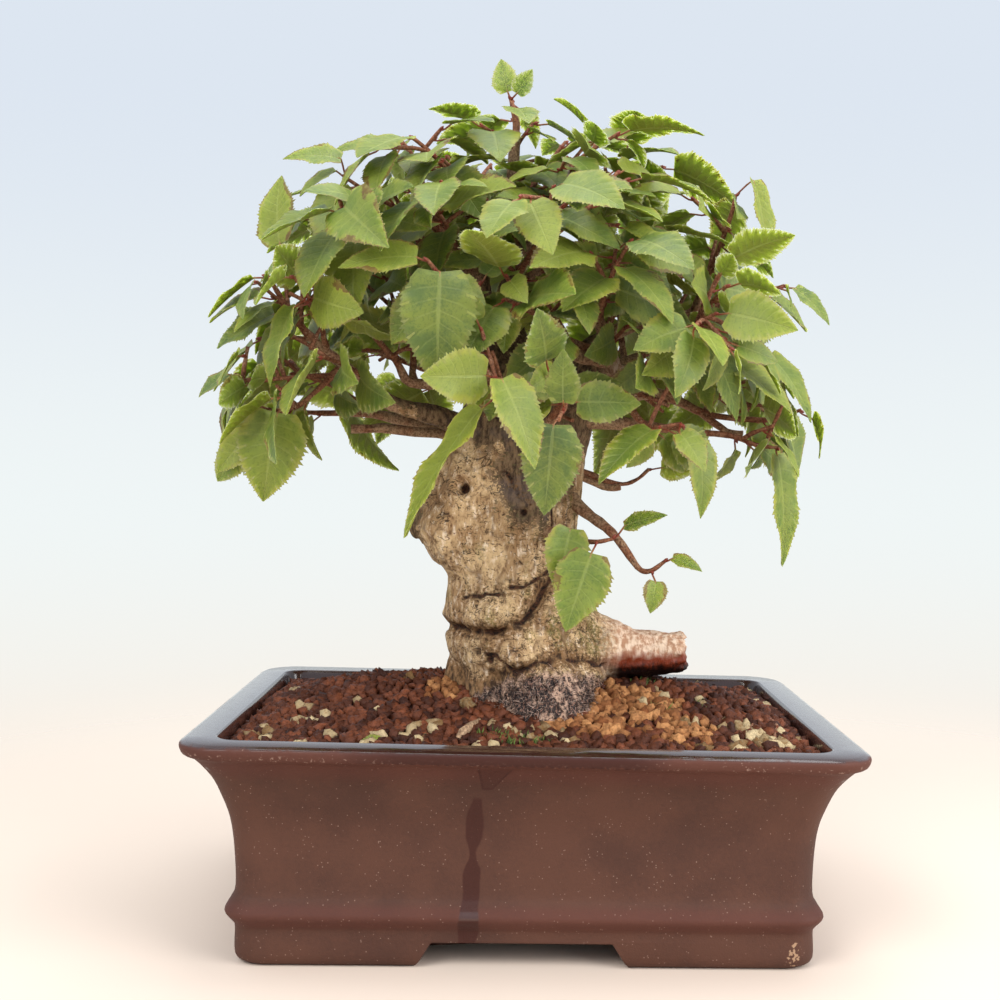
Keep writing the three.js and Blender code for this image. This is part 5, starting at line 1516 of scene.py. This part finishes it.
def point_on(points, share):
    """The point and direction at a share of a line's length"""
    line = np.asarray(points, float)
    steps = np.diff(line, axis=0)
    lengths = np.linalg.norm(steps, axis=1)
    left = share * lengths.sum()
    for i, length in enumerate(lengths):
        if left <= length or i == len(lengths) - 1:
            along = steps[i] / length
            return line[i] + along * left, along
        left -= length


def wood_spots():
    """Points with radii along every branch and twig, and down the middle of the trunk"""
    spots = []

    def follow(points, radii, name):
        """Points close together along a line"""
        line = np.asarray(points, float)
        for i in range(len(line) - 1):
            count = math.ceil(np.linalg.norm(line[i + 1] - line[i]) / WOOD_STEP)
            for k in range(count):
                share = k / count
                at = line[i] + (line[i + 1] - line[i]) * share
                spots.append((at, radii[i] + (radii[i + 1] - radii[i]) * share, name))
        spots.append((line[-1], radii[-1], name))

    for branch in BRANCHES:
        follow(branch.wood, wood_radii(branch), "trunk")
        twig = branch.leafy()
        follow(twig, np.linspace(branch.end, TWIG_END, len(twig)), branch.name)
    for start, end, points in STUBS:
        follow(points, np.linspace(start, end, len(points)), "trunk")
    for z, left, right, front, back in TRUNK[4:]:
        reach = (back - front) / 2
        for x in (left + reach, (left + right) / 2, right - reach):
            spots.append((np.array([x, (front + back) / 2, z]), reach, "trunk"))
    return [np.array(column) for column in zip(*spots)]


def try_leaf(branch, number, index, attempt, small=False):
    """One try at a leaf: which way it grows, hangs and faces follows from the draws"""
    draw = draws(index * 7919 + (number + 40 * small) * 131 + attempt * 17 + 5)
    last = number == branch.leaves - 1 and not small
    if small:
        at, along = point_on(branch.wood + branch.twig, 0.25 + 0.73 * next(draw))
    else:
        place = 0.96 if last else 0.12 + 0.8 * number / branch.leaves
        at, along = point_on(branch.leafy(), place)
    outward = unit(at - CROWN_CENTRE)
    skyward = np.array([0.0, 0.0, 1.0])
    sideways = unit(np.cross(along, skyward) + np.array([1e-9, 0, 0])) * (1 if number % 2 else -1)
    aside = stray(draw)
    ahead = along * (0.9 if last else 0.2 + 0.5 * next(draw))
    ahead = ahead + sideways * (0 if last else 0.5 + 0.5 * next(draw))
    ahead = ahead + outward * 0.2 + skyward * (-0.35 - 0.8 * next(draw))
    ahead = unit(ahead + aside * (0.5 + 0.06 * attempt))
    face = skyward * 0.25 + outward + stray(draw) * 0.9
    shrink = next(share for most, share in SMALLER if attempt < most)
    length = branch.size * (0.82 + 0.42 * next(draw)) * shrink * (SMALL_SHARE if small else 1)
    width = length * (0.68 + 0.16 * next(draw))
    stalk = unit(along * 0.4 + ahead * 0.8)
    base = at + stalk * (3 + 3 * next(draw))
    return Leaf(branch.name, at, base, ahead, face, length, width, draw)


def in_boxes(points, boxes):
    """Whether any of the points lies in any of the boxes"""
    return any(np.any(np.all((points > low) & (points < high), axis=-1)) for low, high in boxes)


def leaf_fits(leaf, spots, blades, added):
    """Whether a leaf is clear of the wood and of the leaves already placed"""
    space, wood_space = (CLOSE_SPACE, CLOSE_WOOD_SPACE) if added else (LEAF_SPACE, WOOD_SPACE)
    if not np.all(under_dome(leaf.samples)):
        return False
    if in_boxes(leaf.samples, (TRUNK_VIEW, *BARE_WOOD) if added else (TRUNK_VIEW,)):
        return False
    own = leaf.row[None]
    at, radius, names = spots
    close = np.linalg.norm(at - leaf.middle, axis=1) <= radius + leaf.length
    close &= ~((names == leaf.name) & (np.linalg.norm(at - leaf.root, axis=1) < OWN_WOOD))
    if too_near(own, at[close], radius[close], wood_space):
        return False
    others = close & (names != leaf.name)
    gaps = np.linalg.norm(leaf.stalk[:, None] - at[others], axis=2) - radius[others]
    if np.any(gaps < wood_space):
        return False
    rows, samples, stalks = blades.around(leaf)
    if too_near(own, samples, 0, space) or too_near(rows, leaf.samples, 0, space):
        return False
    if too_near(rows, leaf.stalk, PETIOLE, wood_space):
        return False
    return not too_near(own, stalks, PETIOLE, wood_space)


def place_leaves():
    """The part's own leaves by its own rule, then leafy side shoots and small leaves between them"""
    spots = wood_spots()
    blades = Blades()
    by_name = {branch.name: branch for branch in BRANCHES}
    for index, (name, base, tip, width, face) in enumerate(LEADING_LEAVES):
        base, tip, face = (np.array(vector, float) for vector in (base, tip, face))
        roots = [point_on(by_name[name].leafy(), k / 40)[0] for k in range(2, 40)]
        root = min(roots, key=lambda p: np.linalg.norm(p - base))
        length = np.linalg.norm(tip - base)
        blades.add(Leaf(name, root, base, (tip - base) / length, face, length, width, draws(index + 900)))
    for turn in range(max(branch.leaves for branch in BRANCHES)):
        for index, branch in enumerate(BRANCHES):
            if branch.leaves > turn:
                add_first(branch, branch.leaves - 1 - turn, index, TRIES, spots, blades)
    shoots = side_shoots(spots, blades)
    for number in range(SHOOT_LEAVES):
        for index, shoot in enumerate(shoots):
            add_first(shoot, SHOOT_LEAVES - 1 - number, 1000 + index, CLOSE_TRIES, spots, blades, added=True)
    for number in range(SMALL_LEAVES):
        for index, branch in enumerate(BRANCHES):
            if branch.group != UNDER_CROWN:
                add_first(branch, number, index, CLOSE_TRIES, spots, blades, added=True, small=True)
    return blades.leaves, shoots


def add_first(branch, number, index, tries, spots, blades, added=False, small=False):
    """Add the first try at a leaf that fits, if any does"""
    for attempt in range(tries):
        leaf = try_leaf(branch, number, index, attempt, small)
        if leaf_fits(leaf, spots, blades, added):
            blades.add(leaf)
            return


def side_shoots(spots, blades):
    """Short shoots from the branches into the gaps of the crown"""
    at, radius, _ = spots
    shoots = []
    for index, branch in enumerate(BRANCHES):
        draw = draws(index * 613 + 77)
        count = LEADER_SHOOTS if branch.name == "leader_top" else SHOOTS
        for number in range(0 if branch.group == UNDER_CROWN else count * SHOOT_TRIES):
            root, along = point_on(branch.wood + branch.twig, 0.3 + 0.65 * next(draw))
            around = unit(stray(draw))
            outward = unit(root - CROWN_CENTRE)
            way = unit(along * 0.5 + around * 0.9 + outward * 0.35 + np.array([0, 0, 0.15]))
            reach = between(SHOOT_LENGTHS, next(draw))
            line = root + np.outer(np.array([0.3, 0.65, 1.0]) * reach, way)
            line[1:, 2] -= 0.06 * reach * np.array([1, 2.2])
            end = line[-1]
            if not under_dome(CROWN_CENTRE + (end - CROWN_CENTRE) * SHOOT_ROOM):
                continue
            if in_boxes(line, (TRUNK_VIEW, *BARE_WOOD)):
                continue
            if too_near(blades.rows[: len(blades.leaves)], line, TWIG_END, SHOOT_SPACE):
                continue
            away = np.linalg.norm(at - end, axis=1) - radius
            tips = [np.linalg.norm(np.array(shoot.twig[-1]) - end) for shoot in shoots]
            if away.min() < SHOOT_WOOD_SPACE or min(tips, default=math.inf) < SHOOT_APART:
                continue
            size = between(SHOOT_SIZES, next(draw))
            name = f"{branch.name}_{number}"
            points = [list(point) for point in (root, *line)]
            shoots.append(Branch(name, branch.group, 0.8, 0.7, SHOOT_LEAVES, size, points[:2], points[2:]))
            count -= 1
            if not count:
                break
    return shoots


def blade_pattern(pairs):
    """Points along the side veins: share of length and width, lift and vein, and faces of both sides"""
    rows = 2 * pairs + 1
    k = np.arange(rows)
    rib_t = 0.02 + 0.95 * k / (rows - 1)
    end_t = rib_t + 0.19 * np.sin(math.pi * rib_t)
    along, across, lift, vein = [0.0, 1.0], [0.0, 0.0], [-0.1, 0.0], [0.25, pairs + 0.5]
    spans = {}

    def column(key, t, share, height, value):
        """Points along the rib, the middle of one half or its margin"""
        spans[key] = np.arange(len(along), len(along) + len(t))
        along.extend(t)
        across.extend(share)
        lift.extend(height)
        vein.extend(value)

    puff = np.where(k % 2, PUFF_UP, PUFF_DOWN)
    for upper in (True, False):
        thick = UPPER_SKIN if upper else LOWER_SKIN
        column(("rib", upper), rib_t, 0 * k, np.full(rows, 0.05 if upper else -0.42), k / 2)
        for sign in (1, -1):
            inner_t = rib_t + (end_t - rib_t) * 0.45
            column((sign, upper), inner_t, sign * 0.52 * half_at(end_t), puff + thick, k / 2)
    for sign in (1, -1):
        t, share, value = [], [], []
        for step in range(3 * (rows - 1) + 1):
            reach, lean = TEETH[step % len(TEETH)]
            at = np.interp(step / 3, k, end_t)
            t.append(min(0.995, at + lean * (1 - at * 0.5)) - 0.075 * max(0.0, 1 - step / 3))
            share.append(sign * reach * half_at(at))
            value.append(step / len(TEETH))
        column(("margin", sign), t, share, np.zeros(len(t)), value)
    sides = []
    for upper in (True, False):
        rib, faces = spans[("rib", upper)], []
        for sign in (1, -1):
            inner, margin = spans[(sign, upper)], spans[("margin", sign)]
            made = [(0, rib[0], inner[0]), (0, inner[0], margin[0])]
            made += [(rib[-1], 1, inner[-1]), (inner[-1], 1, margin[-1])]
            for r in range(rows - 1):
                m = 3 * r
                made.append((rib[r], rib[r + 1], inner[r + 1], inner[r]))
                made.append((inner[r], inner[r + 1], margin[m + 2], margin[m + 1]))
                made.append((inner[r], margin[m + 1], margin[m]))
                made.append((inner[r + 1], margin[m + 3], margin[m + 2]))
            flip = (sign < 0) != (not upper)
            faces += [tuple(int(i) for i in (reversed(face) if flip else face)) for face in made]
        sides.append(faces)
    return *(np.array(values) for values in (along, across, lift, vein)), *sides


def add_leaf(shape, leaf, pattern, draw):
    """A blade with two sizes of teeth on a bent petiole, and a bud where the petiole starts"""
    along, across, lift, vein, upper, lower = pattern
    scale = leaf.length / 24
    phase = FULL_TURN * next(draw)
    sway = np.sin(13 * along + phase + np.where(across > 0, 2.1, 0.0))
    ripple = 0.022 * leaf.length * np.abs(across) ** 1.5 * sway
    points = leaf.at(along * leaf.length, across * leaf.width / 2, lift * scale + ripple)
    edge = np.clip(np.abs(across) / np.maximum(half_at(np.clip(along, 0.02, 0.98)), 0.05), 0, 1)
    tint, burn = next(draw), next(draw)
    marks = {"vein": vein, "edge": edge, "along": along, "tint": tint, "burn": max(0.0, burn - 0.3) * 1.4}
    first = shape.count
    shape.add(points, upper, 0, **marks)
    shape.faces += [tuple(i + first for i in face) for face in lower]
    shape.slots += [1] * len(lower)
    reach = np.linalg.norm(leaf.base - leaf.root)
    sag = -0.1 * reach * leaf.up
    line = [leaf.root, leaf.root * 0.6 + leaf.base * 0.4 + sag, leaf.base - 0.12 * leaf.up]
    line.append(leaf.at(np.array([0.09 * leaf.length]), np.zeros(1))[0] - 0.3 * scale * leaf.up)
    made, tube_faces = limb(line, (0.42, 0.3, 0.32, 0.12), PETIOLE_SIDES, steps=2)
    along_stalk = np.repeat(np.linspace(0, 1, len(made) // PETIOLE_SIDES), PETIOLE_SIDES)
    shape.add(made, tube_faces, 2, tint=tint, along=along_stalk)
    tip = unit(leaf.base - leaf.root + 1.6 * leaf.up)
    bud = [leaf.root + tip * step for step in (0.2, 0.8, 1.4, 2.0)]
    made, tube_faces = tube(bud, (0.4, 0.6, 0.45, 0.1), BUD_SIDES)
    shape.add(made, tube_faces, 2, tint=tint, along=0.0)


def make_crown(settings):
    """One piece of twigs and leaves for each part of the crown"""
    leaves, shoots = place_leaves()
    materials = leaf_materials(settings)
    shapes = {}
    draw = draws(4711)
    large, small = blade_pattern(LONG_VEINS), blade_pattern(SHORT_VEINS)
    groups = {branch.name: branch.group for branch in (*BRANCHES, *shoots)}
    for index, branch in enumerate((*BRANCHES, *shoots)):
        rows, twig = wood_line(branch)
        rows = rows[twig if index < len(BRANCHES) else 0 :]
        shape = shapes.setdefault(branch.group, Shape())
        points, faces = tube(rows[:, :3], rows[:, 3], TWIG_SIDES, TWIG_KNOBS, index)
        shape.add(points, faces, 3, girth=0.3, tone=0.5)
    for leaf in leaves:
        add_leaf(shapes[groups[leaf.name]], leaf, large if leaf.length > LONG_LEAF else small, draw)
    for group, shape in shapes.items():
        piece = shape.piece(f"leaves_{group}", materials, LEAF_EDGE)
        sprays = [f"spray_{branch.name}" for branch in BRANCHES if branch.group == group]
        settle(piece, "leafy_twig", *sprays)


def leaf_materials(settings):
    """Upper side, underside, petioles and twigs, in the order of a leafy mesh's slots"""
    return [leaf_green(settings, False), leaf_green(settings, True), young_shoot(), branch_wood()]


def leaf_green(settings, under):
    """A blade with faint veins, its own green, a yellow edge and, on some, a dry brown margin"""
    bench = Surface("leaf_underside" if under else "leaf_upper")
    place = bench.place()
    tint = bench.mark("tint")
    edge = bench.mark("edge")
    vein = bench.mark("vein")
    fine = bench.cloud(place, 0.8, 3, 0.65)
    broad = bench.cloud(place, 7, 2)
    if under:
        green = bench.blend(tint, (*settings.green_under, 1), rgb(140, 146, 58))
    else:
        green = bench.shade(tint, 0.0, 0.5, (*settings.green_deep, 1), (*settings.green, 1))
        green = bench.shade(tint, 0.55, 1.0, green, (*settings.green_fresh, 1))
    green = bench.blend(bench.step(broad + fine * 0.4, 0.5, 0.85) * 0.5, green, rgb(134, 142, 54))
    green = bench.blend(bench.step(fine, 0.5, 0.32) * 0.35, green, rgb(70, 86, 32))
    part = (vein + 0.5).math("FRACT", vein + 0.5) - 0.5
    side_vein = bench.step(abs(part), 0.12, 0.02) * bench.step(edge, 0.8, 0.45)
    rib = bench.step(edge + bench.mark("along") * 0.02, 0.085, 0.03)
    veins = (side_vein * 0.5 + rib).low(1)
    green = bench.blend(veins * (0.4 if under else 0.26), green, rgb(170, 178, 100))
    yellow = bench.step(edge + (broad - 0.5) * 0.7, 0.65, 1.05)
    green = bench.blend(yellow * bench.step(tint, 0.05, 0.5) * 0.6, green, rgb(160, 156, 52))
    burn = bench.mark("burn")
    dry = bench.step(edge + (broad - 0.5) * 1.2 + (fine - 0.5) * 0.4 + burn * 0.28, 1.08, 1.16)
    green = bench.blend(dry * bench.step(burn, 0.05, 0.3) * 0.85, green, rgb(92, 52, 34))
    height = veins * (0.9 if under else -0.5) + fine * 0.1
    looks = {
        "Roughness": 0.62 if under else 0.5,
        "Specular_IOR_Level": 0.32 if under else 0.4,
        "Subsurface_Weight": settings.glow,
        "Subsurface_Scale": 0.85 * MM,
        "Subsurface_Radius": (0.8, 1.0, 0.4),
    }
    return bench.finish(Base_Color=green, Normal=bench.bump(height, 0.14), **looks)


def young_shoot():
    """Red-brown petioles and buds, greener towards the blade"""
    bench = Surface("young_shoot")
    place = bench.place()
    fine = bench.cloud(place, 0.7, 2)
    colour = bench.shade(bench.mark("along"), 0.3, 1.0, rgb(136, 58, 40), rgb(164, 140, 76))
    colour = bench.blend(bench.step(fine, 0.4, 0.7) * 0.5, colour, rgb(92, 40, 30))
    return bench.finish(Base_Color=colour, Normal=bench.bump(fine, 0.1), Roughness=0.5)


# Drainage mesh and stage


def mesh_plastic():
    """Black plastic of the drainage mesh"""
    bench = Surface("drain_plastic")
    fine = bench.cloud(bench.place(), 0.8, 2)
    colour = bench.blend(fine, rgb(18, 18, 18), rgb(40, 38, 36))
    return bench.finish(Base_Color=colour, Normal=bench.bump(fine, 0.1), Roughness=0.55)


def pale_floor(settings):
    """Cream that fades out far from the pot, so that no edge shows"""
    bench = Surface("floor_pale")
    x, y, _ = bench.apart(bench.place())
    away = x.math("SQRT", x * x + y * y)
    near = bench.step(away, FLOOR_REACH, FLOOR_SOLID)
    looks = {"Base_Color": (*settings.floor, 1), "Roughness": 0.9, "Specular_IOR_Level": 0.1}
    return bench.finish(Alpha=near * near, **looks)


def aim_camera():
    """The camera at the photograph's view"""
    yaw, pitch, roll = (math.radians(a) for a in CAMERA_ANGLES)
    ahead = Vector((math.sin(yaw) * math.cos(pitch), math.cos(yaw) * math.cos(pitch), -math.sin(pitch)))
    right = Vector((math.cos(yaw), -math.sin(yaw), 0))
    up = right.cross(ahead)
    turned_right = right * math.cos(roll) + up * math.sin(roll)
    turned_up = up * math.cos(roll) - right * math.sin(roll)
    lens = bpy.data.cameras.new("Camera")
    lens.lens = CAMERA_LENS
    lens.sensor_width = CAMERA_SENSOR
    lens.clip_start = 0.01
    camera = bpy.data.objects.new("Camera", lens)
    bpy.context.collection.objects.link(camera)
    matrix = Matrix((turned_right, turned_up, -ahead)).transposed().to_4x4()
    matrix.translation = Vector(CAMERA_PLACE) * MM
    camera.matrix_world = matrix
    bpy.context.scene.camera = camera


def make_floor(material):
    """A broad plain floor under the feet"""
    shape = Shape()
    turns = np.linspace(0, 2 * math.pi, FLOOR_SIDES, endpoint=False)
    ring = [(FLOOR_REACH * math.cos(a), FLOOR_REACH * math.sin(a), 0.0) for a in turns]
    shape.add(ring, [tuple(range(FLOOR_SIDES))])
    shape.piece("floor", [material])


def soft_lamp(name, place, target, size, power, colour):
    """A round lamp at a place, aimed at a target"""
    lamp = bpy.data.lights.new(name, "AREA")
    lamp.shape = "DISK"
    lamp.size = size
    lamp.energy = power
    lamp.color = colour
    lamp_object = bpy.data.objects.new(name, lamp)
    bpy.context.collection.objects.link(lamp_object)
    lamp_object.location = place
    lamp_object.rotation_euler = (Vector(target) - Vector(place)).to_track_quat("-Z", "Y").to_euler()


def light_tent(settings):
    """Light from all round, pale blue above and cream at the horizon, with broad lamps"""
    world = bpy.data.worlds.new("Light tent")
    bpy.context.scene.world = world
    world.use_nodes = True
    bench = Bench(world.node_tree)
    back = world.node_tree.nodes["Background"]
    _, _, rise = bench.apart(bench.node("ShaderNodeTexCoord", out="Generated"))
    horizon = bench.shade(rise, -0.28, -0.02, (*settings.low_sky, 1), rgb(240, 246, 246))
    sky = bench.shade(rise, -0.06, 0.28, horizon, (*settings.high_sky, 1))
    bench.feed(back.inputs["Color"], sky)
    bench.feed(back.inputs["Strength"], settings.ambient)
    soft_lamp("Key", (-0.55, -0.75, 0.85), (0, 0, 0.15), 0.7, settings.key * 0.9, (1, 0.99, 0.97))
    soft_lamp("Fill", (0.8, -0.5, 0.5), (0, 0, 0.13), 0.8, settings.key, (1, 1, 1))
    soft_lamp("Top", (0.1, 0.1, 1.1), (0, 0, 0.15), 0.8, settings.key * 0.6, (0.97, 0.99, 1))
    bpy.context.scene.view_settings.view_transform = "Standard"


# Settings, operators and the panel


def colour_setting(name, description, colour):
    """A colour that the panel shows"""
    limits = {"subtype": "COLOR", "size": 3, "min": 0, "max": 1}
    return FloatVectorProperty(name=name, description=description, default=colour[:3], **limits)


def number_setting(name, description, default, **limits):
    """A number that the panel shows"""
    return FloatProperty(name=name, description=description, default=default, min=0, **limits)


def length_setting(name, description, millimetres):
    """A length that the panel shows"""
    return number_setting(name, description, millimetres * MM, subtype="DISTANCE", unit="LENGTH")


class BonsaiPotSettings(bpy.types.PropertyGroup):
    """Clay, wetness and edges of the pot"""

    clay: colour_setting("Clay", "Colour of the dry clay", rgb(87, 56, 44))
    clay_dark: colour_setting("Dark Clay", "Colour of darker clouds in the clay", rgb(73, 47, 38))
    clay_wet: colour_setting("Wet Clay", "Colour under the water on the rim", rgb(46, 25, 22))
    clay_run: colour_setting("Damp Clay", "Colour where water ran down", rgb(60, 29, 23))
    wetness: number_setting("Wetness", "How wet the rim is", 1, max=1, subtype="FACTOR")
    edge_round: length_setting("Edge Rounding", "Rounding of the cut edges of the feet", 0.6)


class BonsaiSoilSettings(bpy.types.PropertyGroup):
    """Size and colour of the soil's grains"""

    spacing: length_setting("Grain Spacing", "Least distance between two grains", 2.35)
    grain: length_setting("Grain Size", "Width of a clay grain", 3.6)
    pumice: length_setting("Pumice Size", "Width of a piece of pale grit", 3.9)
    seed: IntProperty(name="Seed", description="Choice of how the grains lie", default=3)
    damp_dark: colour_setting("Damp Grain", "Darkest damp grain", rgb(58, 27, 15))
    damp_light: colour_setting("Light Damp Grain", "Lightest damp grain", rgb(124, 68, 42))


class BonsaiWoodSettings(bpy.types.PropertyGroup):
    """Colours and relief of the bark"""

    bark_cream: colour_setting("Pale Bark", "Lightest bark", rgb(208, 176, 132))
    bark_tan: colour_setting("Tan Bark", "Darker bark of the trunk", rgb(160, 126, 88))
    bark_relief: length_setting("Bark Relief", "Depth of the fine relief", 0.5)


class BonsaiLeafSettings(bpy.types.PropertyGroup):
    """Greens of the leaves"""

    green: colour_setting("Leaf Green", "Upper side of most leaves", rgb(98, 116, 42))
    green_deep: colour_setting("Deep Green", "Upper side of older leaves", rgb(80, 98, 46))
    green_fresh: colour_setting("Fresh Green", "Upper side of the youngest leaves", rgb(128, 138, 50))
    green_under: colour_setting("Underside", "Lower side of the leaves", rgb(132, 142, 74))
    glow: number_setting("Glow", "How much light scatters through the leaves", 0.6, max=1)


class BonsaiStageSettings(bpy.types.PropertyGroup):
    """Floor and light"""

    floor: colour_setting("Floor", "Colour of the floor", rgb(227, 209, 193))
    low_sky: colour_setting("Low Backdrop", "Colour behind the floor", rgb(250, 240, 227))
    high_sky: colour_setting("High Backdrop", "Colour high up", rgb(221, 230, 241))
    ambient: number_setting("Light Tent", "Strength of the light from all round", 1)
    key: number_setting("Key Lamp", "Power of the main lamp", 9, subtype="POWER", unit="POWER")


class BONSAI_OT_stage(bpy.types.Operator):
    """Set up the camera, the light tent and the pale floor"""

    bl_idname = "bonsai.stage"
    bl_label = "Stage"

    def execute(self, context):
        aim_camera()
        light_tent(context.scene.bonsai_stage)
        make_floor(pale_floor(context.scene.bonsai_stage))
        return {"FINISHED"}


class BONSAI_OT_pot(bpy.types.Operator):
    """Make the stoneware pot and finish its drainage mesh"""

    bl_idname = "bonsai.pot"
    bl_label = "Pot"

    def execute(self, context):
        settle(make_pot(context.scene.bonsai_pot), "stoneware", "pot")
        plastic = mesh_plastic()
        for node in ("drain_mesh_left", "drain_mesh_right"):
            for piece in (o for o in bpy.data.objects if o.name == node):
                piece.data.materials.clear()
                piece.data.materials.append(plastic)
        return {"FINISHED"}


class BONSAI_OT_soil(bpy.types.Operator):
    """Make the bed of soil and strew its grains"""

    bl_idname = "bonsai.soil"
    bl_label = "Soil"

    def execute(self, context):
        settings = context.scene.bonsai_soil
        settle(make_bed(bed_clay()), "soil", "soil")
        grains = make_ground("soil_grains")
        inputs = {"spacing": settings.spacing, "grain_size": settings.grain, "pumice_size": settings.pumice}
        run_tree(grains, grain_tree(akadama(settings)), seed=settings.seed, **inputs)
        settle(grains, "soil")
        return {"FINISHED"}


class BONSAI_OT_moss(bpy.types.Operator):
    """Grow small moss in the soil and lay a few small things on it"""

    bl_idname = "bonsai.moss"
    bl_label = "Moss"

    def execute(self, context):
        settle(make_moss(moss_green()), "leafy_twig")
        settle(make_litter(leaf_materials(context.scene.bonsai_leaves)), "leafy_twig")
        return {"FINISHED"}


class BONSAI_OT_wood(bpy.types.Operator):
    """Make the trunk, its roots and the branches"""

    bl_idname = "bonsai.wood"
    bl_label = "Trunk and Branches"

    def execute(self, context):
        trunk = make_trunk(bark(context.scene.bonsai_wood))
        settle(trunk, "bark", "trunk")
        settle(make_fibres(trunk, root_hair()), "bark")
        settle(make_branches([branch_wood()]), "bark", "trunk")
        return {"FINISHED"}


class BONSAI_OT_leaves(bpy.types.Operator):
    """Grow the leafy twigs of the crown"""

    bl_idname = "bonsai.leaves"
    bl_label = "Leaves"

    def execute(self, context):
        make_crown(context.scene.bonsai_leaves)
        return {"FINISHED"}


OPERATORS = (
    BONSAI_OT_stage,
    BONSAI_OT_pot,
    BONSAI_OT_soil,
    BONSAI_OT_moss,
    BONSAI_OT_wood,
    BONSAI_OT_leaves,
)
SETTINGS = {
    "bonsai_pot": BonsaiPotSettings,
    "bonsai_soil": BonsaiSoilSettings,
    "bonsai_wood": BonsaiWoodSettings,
    "bonsai_leaves": BonsaiLeafSettings,
    "bonsai_stage": BonsaiStageSettings,
}


class BONSAI_PT_panel(bpy.types.Panel):
    """Lists the bonsai's settings and pieces"""

    bl_label = "Hornbeam Bonsai"
    bl_idname = "BONSAI_PT_panel"
    bl_space_type = "VIEW_3D"
    bl_region_type = "UI"
    bl_category = "Bonsai"

    def draw(self, context):
        for name, kind in SETTINGS.items():
            box = self.layout.box()
            box.label(text=kind.__doc__)
            for prop in kind.__annotations__:
                box.prop(getattr(context.scene, name), prop)
        for operator in OPERATORS:
            self.layout.operator(operator.bl_idname)


def register():
    for kind in (*SETTINGS.values(), *OPERATORS, BONSAI_PT_panel):
        bpy.utils.register_class(kind)
    for name, kind in SETTINGS.items():
        setattr(bpy.types.Scene, name, PointerProperty(type=kind))


def unregister():
    for name in SETTINGS:
        delattr(bpy.types.Scene, name)
    for kind in reversed((*SETTINGS.values(), *OPERATORS, BONSAI_PT_panel)):
        bpy.utils.unregister_class(kind)


def main():
    """Register, then make every piece in order"""
    register()
    for operator in OPERATORS:
        getattr(bpy.ops.bonsai, operator.bl_idname.split(".")[1])()


if __name__ == "__main__":
    main()
